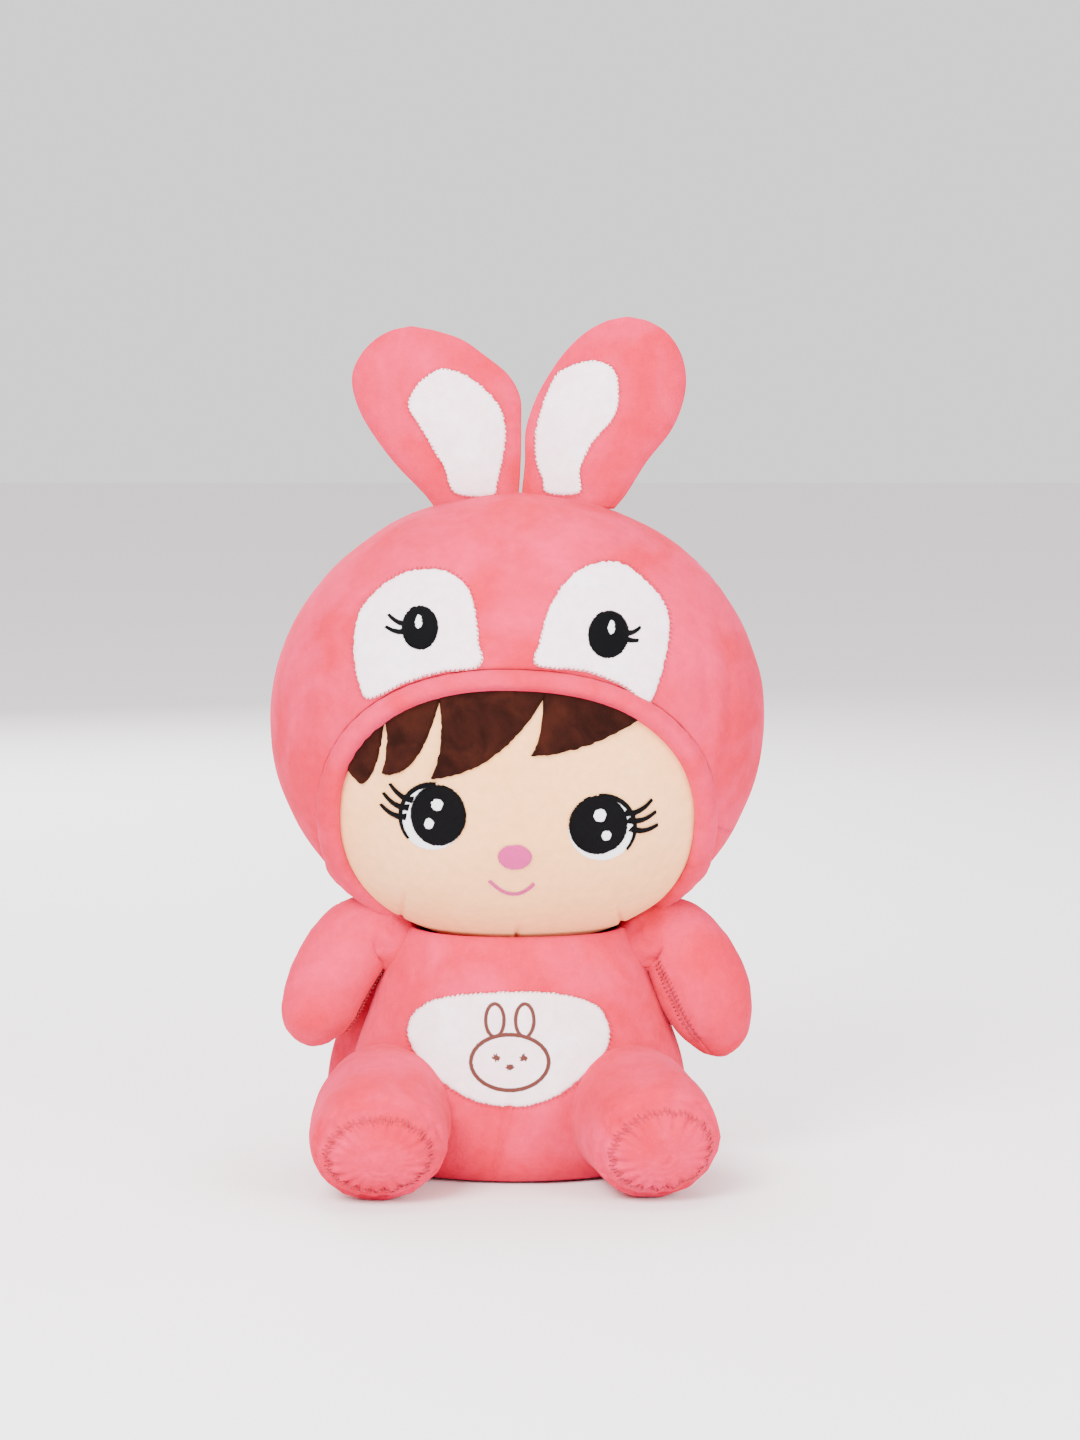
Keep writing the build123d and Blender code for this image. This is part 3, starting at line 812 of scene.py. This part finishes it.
# ---- ears ----
# Rows of an ear: height, outer edge, inner edge, half thickness.
EAR_ROWS = {
    "left": ((297, -36, 0, 3.5), (303, -40.5, 1.2, 5.5), (318, -54.7, 2.2, 8.5), (335, -66.8, 2.4, 10),
             (347, -72, 1.9, 10), (357, -73, -3.5, 9), (366, -69, -14.5, 7), (373, -62.2, -25, 5),
             (376.8, -55, -37, 3.4), (378, -49.5, -43.5, 1.6), (378.5, -47, -46, 0.1)),
    "right": ((297, 44, 3, 3.5), (303, 49, 2.6, 5.5), (318, 58.5, 4, 8.5), (332, 69.4, 4.4, 10),
              (345, 74.8, 8.4, 10), (356, 76, 14.2, 9), (367, 73.4, 22, 7), (376, 67, 31.5, 5),
              (381, 58.5, 41, 3.4), (382.2, 53, 46.5, 1.6), (382.7, 50.5, 49, 0.1)),
}
EAR_LININGS = {
    "left": ((-27, 304), (-32.4, 316.2), (-42.4, 333.4), (-48, 343), (-45.4, 351), (-40, 356.4),
             (-32.9, 360), (-20.9, 356.5), (-8.5, 345.5), (-4.6, 335.2), (-4.6, 325), (-7.9, 309),
             (-10.5, 303)),
    "right": ((14, 304), (11.7, 310.3), (8.6, 319.7), (8.8, 333), (13.7, 349.4), (20.5, 359.5),
              (34.8, 363.6), (44, 359.2), (46, 348), (43.6, 338), (33.7, 326), (28.6, 314), (28.4, 304)),
}


def ear_point(side, z, across, face):
    """A point of an ear: across is -1 at its outer edge and 1 at its inner, face -1 is the front."""
    outer, inner, thick = eased(EAR_ROWS[side], z)
    x = (outer + inner) / 2 + across * (inner - outer) / 2
    bulge = max(1 - across * across, 0) ** 0.58
    lumps = 0.5 * mottled((x, face * 20, z), 16, 21)
    seam = 0.5 * groove((1 - abs(across)) * abs(inner - outer) / 2 - 1.5, 1.2)
    full = smooth(thick, 1, 5)
    return Vector((x, face * (thick * bulge + (lumps - seam) * bulge ** 0.5 * full), z))


def on_ear(side):
    """A function for the point at this x and z on the front of an ear, and lifted off it."""
    def surface(x, z, lift):
        outer, inner, _ = eased(EAR_ROWS[side], z)
        across = (2 * x - outer - inner) / (inner - outer)
        across = min(max(across, -0.995), 0.995)
        point = ear_point(side, z, across, -1)
        return Vector((x, point.y - lift, z))
    return surface


def build_ears():
    """Each ear's two panels, its white lining and the stitches round that."""
    for side in SIDES:
        ear = f"{side}_ear"
        low, high = EAR_ROWS[side][0][0], EAR_ROWS[side][-1][0]
        count, rows = 40, 90
        outer, inner, _ = eased(EAR_ROWS[side], low)
        base = Vector((outer / 2 + inner / 2, 0, low + 8))
        for face, word in ((-1, "front"), (1, "back")):
            rings = []
            for row in range(rows + 1):
                z = low + (high - low) * (1 - (1 - row / rows) ** 1.6)
                ring = [ear_point(side, z, sin((i / count - 0.5) * pi), face) for i in range(count + 1)]
                rings.append(ring if (face < 0) == (side == "left") else ring[::-1])
            panel = rings_mesh(f"{ear}_{word}", rings, closed=False)
            thicken(panel, EAR_CLOTH, base + Vector((0, 0, 20)))
            finish_piece(panel, PINK, ear, [f"{ear}_{word}_panel"])
            bend_from(panel)
        loop = smooth_loop(EAR_LININGS[side], 16)
        lining = fan_piece(f"{ear}_white", loop, on_ear(side), 1.1, PATCH_FUZZ)
        behind = base + Vector((0, 40, 20))
        finish_piece(lining, WHITE, ear, [f"{ear}_lining"], inside=behind)
        bend_from(lining)
        seam = edge_stitches(f"{ear}_stitches", loop, on_ear(side), ear, behind)
        bend_from(seam)


def bend_from(obj):
    """Takes a piece off its body and keeps its place in its mesh."""
    obj.parent = None
    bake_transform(obj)


# ---- torso ----
# Rows of the torso: height, half width, half depth.
TORSO_ROWS = ((0, 58, 44), (1.5, 65, 50), (6, 71, 55), (14, 75, 58), (26, 77, 59.5), (38, 76.5, 59),
              (52, 73.5, 56.5), (66, 69, 53), (78, 64.5, 49.5), (88, 60.5, 46), (95, 57.5, 43),
              (101, 54.5, 40), (105.5, 52, 37.5), (108.6, 50, 35.5))
HIP_SWELL = {-1: 12.5, 1: 1.5}    # how far the back panels stand out sideways, by the sign of x


def torso_point(angle, z, lift=0.0):
    """A point of the torso: an angle of -90 degrees is the front, and lift stands off the surface."""
    a, b = eased(TORSO_ROWS, z)
    x, y = a * cos(angle), b * sin(angle)
    side = 1 if x > 0 else -1
    swell = HIP_SWELL[side] * smooth(z, 3, 26) * (1 - smooth(z, 66, 98))
    x += side * swell * smooth(sin(angle), -0.06, 0.3) * smooth(abs(cos(angle)), 0.2, 0.9)
    normal = Vector((cos(angle) / a, sin(angle) / b, 0)).normalized()
    point = Vector((x, y, z))
    lumps = 0.9 * mottled(point, 34, 31) + 0.35 * mottled(point, 13, 35)
    if y > 0:
        centre_seam = groove(x, 1.7)
    else:
        centre_seam = groove(x + 3 + (36 - z) * 0.23, 1.5) * (1 - smooth(z, 38, 44))
    side_seam = groove(y, 2.0)
    flat = smooth(z, 0, 6)
    return point + normal * ((lumps - 1.6 * max(centre_seam, side_seam)) * flat + lift)


def on_torso(x, z, lift):
    """The point at this x and z on the front of the torso, and lifted off it."""
    a, b = eased(TORSO_ROWS, z)
    angle = -acos(min(max(x / a, -0.999), 0.999))
    return torso_point(angle, z, lift)


def under_head(x, y):
    """The height of the head's underside above a point of the torso."""
    flat = ((x - HEAD_CENTRE.x) / HOOD_HALF.x) ** 2 + (y / HOOD_HALF.y) ** 2
    return pressed(HEAD_CENTRE.z - HOOD_HALF.z * sqrt(max(1 - flat, 0)))


def torso_part(name, from_angle, to_angle):
    """A panel of the torso from the seat up, and in over the shoulders under the head."""
    count, rows = int(round((to_angle - from_angle) * 60)), 80
    rings = []
    for row in range(rows + 1):
        z = TORSO_ROWS[-1][0] * row / rows
        rings.append([torso_point(from_angle + (to_angle - from_angle) * i / count, z)
                      for i in range(count + 1)])
    rim = rings[-1]
    for share in (0.97, 0.93, 0.85, 0.7, 0.5, 0.3, 0.1, 0.01):
        ring = []
        for point in rim:
            x, y = point.x * share, point.y * share
            ring.append(Vector((x, y, min(under_head(x, y) - 0.8, point.z + 40 * (1 - share)))))
        rings.append(ring)
    part = rings_mesh(name, rings, closed=False)
    thicken(part, TORSO_CLOTH, INSIDE_TORSO)
    finish_piece(part, PINK, "torso", [f"{name}_panel"])


def build_torso():
    """The torso's three panels and the flat base that it sits on."""
    torso_part("torso_front", -pi, 0)
    torso_part("torso_back_right", 0, pi / 2)
    torso_part("torso_back_left", pi / 2, pi)
    count = 160
    rings = []
    for share in (1.0, 0.97, 0.9, 0.75, 0.5, 0.25, 0.05):
        ring = []
        for i in range(count):
            angle = tau * i / count
            edge = torso_point(angle, 0.4)
            ring.append(Vector((edge.x * share, edge.y * share, 0.4 * smooth(share, 0.9, 1))))
        rings.append(ring[::-1])
    base = rings_mesh("seat_base", rings, end_cap=True)
    finish_piece(base, PINK, "torso", ["seat_base_panel"])


BELLY_PATCH = ((-48.2, 69), (-45.8, 74.6), (-37.7, 80.9), (-26.5, 84), (-14.1, 85.6), (4.6, 86.4),
               (20.1, 84.9), (31.7, 81.5), (38.5, 76.6), (41.8, 69.5), (41.8, 62.4), (38.2, 55.6),
               (29.4, 48.3), (20.1, 41.7), (7.7, 37.4), (-1.5, 36.5), (-10.8, 37.3), (-20.1, 39.4),
               (-30.7, 45), (-37.4, 50), (-43.7, 56.2), (-47.4, 63))


def oval_line(centre, half, start=0, end=360, count=30):
    """Points along an oval, between two angles in degrees."""
    return [(centre[0] + half[0] * cos(turn), centre[1] + half[1] * sin(turn))
            for turn in (radians(start + (end - start) * k / count) for k in range(count + 1))]


def build_belly():
    """The round patch, with a plain outline of a rabbit's head on it."""
    loop = smooth_loop(BELLY_PATCH, 12)
    patch = fan_piece("belly_oval", loop, on_torso, 1.4, PATCH_FUZZ)
    finish_piece(patch, WHITE, "torso", ["belly_patch"], inside=INSIDE_TORSO)
    edge_stitches("belly_patch_stitches", loop, on_torso, "torso", INSIDE_TORSO)
    head = [(oval_line((-2.5, 56), (17, 12)), 2.1, 2.1)]
    ears = [(oval_line((x, 74), (4, 7), -70, 250), 1.9, 1.9) for x in (-9, 4)]
    eyes = [(oval_line((x, 58), (0.8, 0.8), count=8), 2.2, 2.2) for x in (-8.5, 3.5)]
    nose = [(oval_line((-2.5, 54), (1.2, 0.6), count=8), 1.8, 1.8)]
    motif = satin_line("belly_rabbit_outline", head + ears + eyes + nose, on_torso, 1.1, pitch=0.6, slant=0.8)
    finish_piece(motif, BROWN_THREAD, "torso", ["belly_embroidery"], inside=INSIDE_TORSO)


def ball(name, centre, rows, around, reach):
    """A closed lumpy ball. reach(direction) is how far it stands out from its centre, as a vector."""
    rings = []
    for row in range(1, rows):
        polar = pi * row / rows
        turns = (tau * i / around for i in range(around))
        rings.append([centre + reach(Vector((sin(polar) * cos(turn), sin(polar) * sin(turn), cos(polar))))
                      for turn in turns])
    return rings_mesh(name, rings, start_cap=True, end_cap=True)


TAIL_CENTRE = Vector((0, 66, 26))
TAIL_RADIUS = 14.5
LABEL_START = 50                # y of the seam that holds the care label
LABEL_LENGTH = 23
LABEL_HEIGHT = 62               # of its middle
LABEL_HALF = (0.35, 6.8)        # half of its thickness and of its width


def build_tail():
    """A round tuft of pile. Its poles point forward and back."""
    def tuft(flat):
        d = Vector((flat.x, -flat.z, flat.y))
        return d * (TAIL_RADIUS + (0.9 * mottled(d * 10, 4, 41) + 0.45 * mottled(d * 10, 1.3, 43)))
    tail = ball("tail", TAIL_CENTRE, 40, 60, tuft)
    finish_piece(tail, PINK, "torso", ["tail_puff"])


def build_label():
    """A blank ribbon that stands out of the back seam and sways a little."""
    thick, wide = LABEL_HALF
    rings = []
    for along in range(13):
        y = LABEL_START + LABEL_LENGTH * along / 12
        sway = 0.7 * sin(along * 0.6)
        rings.append([Vector((sway + x, y, LABEL_HEIGHT + z))
                      for x, z in ((-thick, -wide), (thick, -wide), (thick, wide), (-thick, wide))])
    label = rings_mesh("blank_label", rings, start_cap=True, end_cap=True)
    finish_piece(label, RIBBON, "torso", ["care_label"])


# ---- arms and legs ----
# Rows of a limb: share of its run, centre x, y, z, half width, half depth.
ARM_ROWS = {
    "left": ((0, -50, 0, 97, 12, 12), (0.14, -60, -1, 104, 15.5, 15), (0.3, -69.5, -3, 106.5, 17, 16),
             (0.5, -78, -5, 96.5, 18.5, 17), (0.66, -85, -7, 83.5, 18.2, 17),
             (0.82, -89.3, -8.5, 71, 16.8, 16), (0.92, -91, -9.3, 62.5, 13.6, 13),
             (0.975, -91.6, -10, 57, 8, 8), (1, -91.8, -10, 54.8, 2.5, 2.5)),
    "right": ((0, 50, 0, 97, 12, 12), (0.14, 60, -1, 101, 15.5, 15), (0.3, 71, -3, 104.5, 17.4, 16.5),
              (0.5, 78.6, -5, 94.5, 20.2, 18.5), (0.64, 83.5, -6.5, 83.5, 21, 19),
              (0.8, 87.8, -8, 71, 19, 17.5), (0.91, 90.8, -9, 60.5, 14.8, 14),
              (0.97, 92, -10, 53.5, 9, 9), (1, 92.5, -10, 50.2, 2.5, 2.5)),
}
LEG_ROWS = {
    "left": ((0, -56, -22, 31, 27, 27), (0.2, -57.5, -40, 31.5, 30, 29.5), (0.42, -59, -60, 30.5, 30.6, 29),
             (0.64, -59.6, -80, 28.2, 30.8, 27.4), (0.8, -59.4, -93, 26, 30, 25.4),
             (0.9, -59, -100.5, 24.2, 27.8, 23), (0.95, -58.8, -103.6, 23.2, 25.6, 21)),
    "right": ((0, 45, -20, 31, 27, 27), (0.2, 50, -37, 31.5, 29.6, 29.5), (0.42, 54.5, -56, 30.5, 29.6, 29),
              (0.64, 58.8, -75, 28.6, 29.6, 27.6), (0.8, 61.6, -88, 26.6, 28.8, 25.6),
              (0.9, 63.2, -95, 25, 26.8, 23.2), (0.95, 63.9, -98, 24.2, 25.2, 21.4)),
}
ARM_AROUND = 96                              # points round an arm
ARM_SEAM_SHIFT = {"left": 0, "right": -13}   # how many of them its seams are turned towards the front


def limb_rings(rows, samples, around, low_share, high_share, lift):
    """Rings across a bent, padded tube. lift(share, turn, point) shapes its surface."""
    spots = []
    for k in range(samples + 1):
        share = low_share + (high_share - low_share) * k / samples
        spots.append((share, eased(rows, share)))
    rings = []
    for k, (share, (x, y, z, wide, deep)) in enumerate(spots):
        before = Vector(spots[max(k - 1, 0)][1][:3])
        after = Vector(spots[min(k + 1, samples)][1][:3])
        run = (after - before).normalized()
        flat = Vector((1, 0, 0)) if abs(run.y) > 0.7 else Vector((0, -1, 0))
        first = (flat - run * flat.dot(run)).normalized()
        second = run.cross(first)
        wide, deep = (wide, deep) if abs(run.y) > 0.7 else (deep, wide)
        ring = []
        for i in range(around):
            turn = tau * i / around
            out = first * cos(turn) * wide + second * sin(turn) * deep
            point = Vector((x, y, z)) + out
            ring.append(point + out.normalized() * lift(share, turn, point))
        rings.append(ring)
    return rings


def arm_lift(share, turn, point):
    """An arm's lumps, the grooves of its two seams, and the gathers at its root."""
    lumps = 0.7 * mottled(point, 20, 51) + 0.3 * mottled(point, 8, 53)
    seam_turn = turn - ARM_SEAM_SHIFT["right" if point.x > 0 else "left"] * tau / ARM_AROUND
    edge_seam = max(groove((seam_turn - place) * 17, 1.6) for place in (pi / 2, 3 * pi / 2))
    gathers = 0.6 * sin(turn * 11) * groove((share - 0.16) * 60, 5)
    return lumps - 1.1 * edge_seam + gathers


def leg_lift(share, turn, point):
    """A leg's lumps, and the puckers and groove where its sole is sewn in."""
    lumps = 0.7 * mottled(point, 24, 61) + 0.3 * mottled(point, 9, 63)
    puckers = 0.8 * sin(turn * 19 + 2 * sin(turn * 3)) * smooth(share, 0.84, 0.93)
    sole_seam = groove((share - 0.95) * 75, 2.2)
    return lumps + puckers - 2.0 * sole_seam


def build_arms():
    """Each arm's two panels, and the stitches of the seam that shows."""
    around = ARM_AROUND
    for side in SIDES:
        rings = limb_rings(ARM_ROWS[side], 80, around, 0, 1, arm_lift)
        rings = settled(rings, lambda row: 1 - smooth(row, 14, 26), lambda row: groove(row - 16, 3))
        shoulder = Vector(ARM_ROWS[side][1][1:4])
        half, shift = around // 2, ARM_SEAM_SHIFT[side]
        for word, start in (("front", shift - half // 2), ("back", shift + half // 2)):
            part = [[ring[(start + i) % around] for i in range(half + 1)] for ring in rings]
            part.append([middle_of(rings[-1])] * (half + 1))
            arm = rings_mesh(f"{side}_arm_{word}", part, closed=False)
            thicken(arm, ARM_CLOTH, ARM_ROWS[side][4][1:4])
            finish_piece(arm, PINK, f"{side}_arm", [f"{side}_arm_{word}_panel"])
            along = (Vector(ARM_ROWS[side][3][1:4]) - shoulder).normalized()
            bend_from(arm)
        edges = ((shift - half // 2) % around, (shift + half // 2) % around)
        inner = min(edges, key=lambda i: abs(rings[40][i].x))
        points, faces = [], []
        for row in range(34, 74, 2):
            ring = rings[row]
            start, end = ring[(inner - 2) % around], rings[row + 1][(inner + 2) % around]
            over = (start + end) / 2 + (ring[inner] - middle_of(ring)).normalized() * 1.1
            tube(points, faces, (start, over, end), 0.32)
        seam = make_mesh(f"{side}_arm_stitches", points, faces)
        finish_piece(seam, SEAM_THREAD, f"{side}_arm", inside=ARM_ROWS[side][4][1:4])


FLOOR_GAP = 0.3                 # the legs stay this far above the floor


def sole_rings(edge, run):
    """Rings that close the end of a leg with a round padded sole."""
    middle = middle_of(edge)
    rings = []
    for k in range(1, 25):
        share = 1 - k / 25
        ring = []
        for point in edge:
            turn = atan2(point.z - middle.z, point.x - middle.x)
            bulge = 5.6 * (1 - share ** 3.4) + 0.5 * mottled(point * share, 12, 71)
            bulge -= 0.6 * sin(turn * 21 + 2 * sin(turn * 2)) * smooth(share, 0.6, 0.9)
            ring.append(middle.lerp(point, share) + run * bulge)
        rings.append(ring)
    return rings


def build_legs():
    """Each leg's skin, its padded sole, and the stitches between them."""
    skin_rows, around = 90, 120
    for side in SIDES:
        rows = LEG_ROWS[side]
        inside = rows[2][1:4]
        run = (Vector(rows[-1][1:4]) - Vector(rows[-2][1:4])).normalized()
        rings = limb_rings(rows, skin_rows, around, 0, 0.95, leg_lift)
        rings += sole_rings(rings[-1], run)
        rings = settled(rings, lambda row: 1 - smooth(row, 18, 45), lambda row: groove(row - skin_rows, 2))
        for ring in rings:
            for point in ring:
                point.z = max(point.z, FLOOR_GAP)
        leg = rings_mesh(f"{side}_leg", rings[:skin_rows + 1], start_cap=True)
        hip = Vector(rows[1][1:4])
        along = (Vector(rows[3][1:4]) - hip).normalized()
        thicken(leg, LEG_CLOTH, inside)
        finish_piece(leg, PINK, f"{side}_leg", [f"{side}_leg_skin"])
        bend_from(leg)
        sole = rings_mesh(f"{side}_sole", rings[skin_rows:], end_cap=True)
        thicken(sole, SOLE_CLOTH, inside)
        finish_piece(sole, PINK, f"{side}_leg", [f"{side}_foot_sole"])
        points, faces = [], []
        edge = rings[skin_rows]
        middle = middle_of(edge)
        for i in range(0, around, 2):
            skin = rings[skin_rows - 2][(i + 1) % around]
            tuck = rings[skin_rows + 2][i]
            over = (skin + tuck) / 2 + (edge[i] - middle).normalized() * 0.5 + run * 0.5
            tube(points, faces, (skin, over, tuck), 0.3)
        seam = make_mesh(f"{side}_sole_stitches", points, faces)
        finish_piece(seam, SEAM_THREAD, f"{side}_leg", inside=inside)


# ---- stuffing, seen only if a skin is opened ----
def wad_lift(share, turn, point):
    """Lumps of fibre, a little inside the skin."""
    return 1.4 * mottled(point, 9, 81) - 1.2


def build_limb_wads():
    """Fibre packed along the inside of each arm and leg."""
    for side in SIDES:
        for limb, table in (("arm", ARM_ROWS), ("leg", LEG_ROWS)):
            rows = [(share, x, y, z, wide * 0.78, deep * 0.78)
                    for share, x, y, z, wide, deep in table[side]]
            rings = limb_rings(rows, 30, 40, 0.36, 0.9, wad_lift)
            wad = rings_mesh(f"{side}_{limb}_wad", rings, start_cap=True, end_cap=True)
            finish_piece(wad, STUFFING, f"{side}_{limb}", [f"{side}_{limb}_stuffing"])


def build_wads():
    """Fibre packed in the head, the neck, the torso and the ears."""
    wads = {"head_stuffing": ("head", 0.86), "neck_stuffing": ("neck", 0.8),
            "torso_stuffing": ("torso", 0.8)}
    for side in SIDES:
        wads[f"{side}_ear_batting"] = (f"{side}_ear", 0.45)
    for node, (body, share) in wads.items():
        low, high = (Vector(c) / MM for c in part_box(node))
        centre, half = (low + high) / 2, (high - low) / 2 * share

        def swollen(d, half=half):
            swell = 1 + 0.05 * mottled(d * 10, 3.1, 81)
            return Vector((d.x * half.x, d.y * half.y, d.z * half.z)) * swell
        wad = ball(f"{node}_wad", centre, 28, 48, swollen)
        finish_piece(wad, STUFFING, body, [node])


# ---- stage, light and camera ----
FLOOR_HALF = 6000
# Each lamp: its name, its place, its width and its power in watts.
LAMPS = (("key", (-700, -1500, 1300), 900, 90), ("fill", (1100, -1300, 700), 900, 38),
         ("top", (0, 300, 1500), 900, 24), ("rear", (-500, 1600, 900), 900, 34))
LAMP_AIM = Vector((0, 0, 190))
CAMERA_AIM = Vector((10.8, 0, 201.9))
CAMERA_ELEVATION = radians(6)
CAMERA_DISTANCE = 2.0           # metres


def build_stage():
    """A plain pale floor, a soft pale surround and four square lamps."""
    corners = [(x * FLOOR_HALF, y * FLOOR_HALF, 0) for x, y in ((-1, -1), (1, -1), (1, 1), (-1, 1))]
    floor = make_mesh("studio_floor", corners, [(0, 1, 2, 3)])
    material, tree, surface = shader("pale_floor")
    grain = texture(tree, "ShaderNodeTexNoise", 3.0, Detail=2.0)
    colour = blend_colours(tree, grain.outputs["Fac"], 0.2, 0.8, (0.88, 0.84, 0.85), (0.9, 0.86, 0.87))
    tree.links.new(colour, surface.inputs["Base Color"])
    set_inputs(surface, Roughness=0.9)
    floor.data.materials.append(material)
    world = bpy.context.scene.world or bpy.data.worlds.new("studio")
    bpy.context.scene.world = world
    world.use_nodes = True
    set_inputs(world.node_tree.nodes["Background"], Color=(1, 0.97, 0.97, 1), Strength=1.35)
    for name, place, size, power in LAMPS:
        lamp = bpy.data.lights.new(name, "AREA")
        lamp.shape = "SQUARE"
        lamp.size = size * MM
        lamp.energy = power
        obj = bpy.data.objects.new(name, lamp)
        obj.location = Vector(place) * MM
        aim = LAMP_AIM * MM - obj.location
        obj.rotation_euler = aim.to_track_quat("-Z", "Y").to_euler()
        bpy.context.scene.collection.objects.link(obj)


def build_camera():
    """A camera in front of the doll and a little above it."""
    target = CAMERA_AIM * MM
    camera = bpy.data.cameras.new("camera")
    camera.sensor_width = 36
    camera.lens = 111.1
    obj = bpy.data.objects.new("camera", camera)
    away = Vector((0, -cos(CAMERA_ELEVATION), sin(CAMERA_ELEVATION)))
    obj.location = target + away * CAMERA_DISTANCE
    obj.rotation_euler = (target - obj.location).to_track_quat("-Z", "Y").to_euler()
    bpy.context.scene.collection.objects.link(obj)
    bpy.context.scene.camera = obj


build_hood()
build_band()
build_face()
build_hood_eyes()
build_face_eyes()
build_nose_and_mouth()
build_fringe()
build_ears()
build_torso()
build_belly()
build_tail()
build_label()
build_arms()
build_legs()
build_limb_wads()
build_wads()
build_stage()
build_camera()
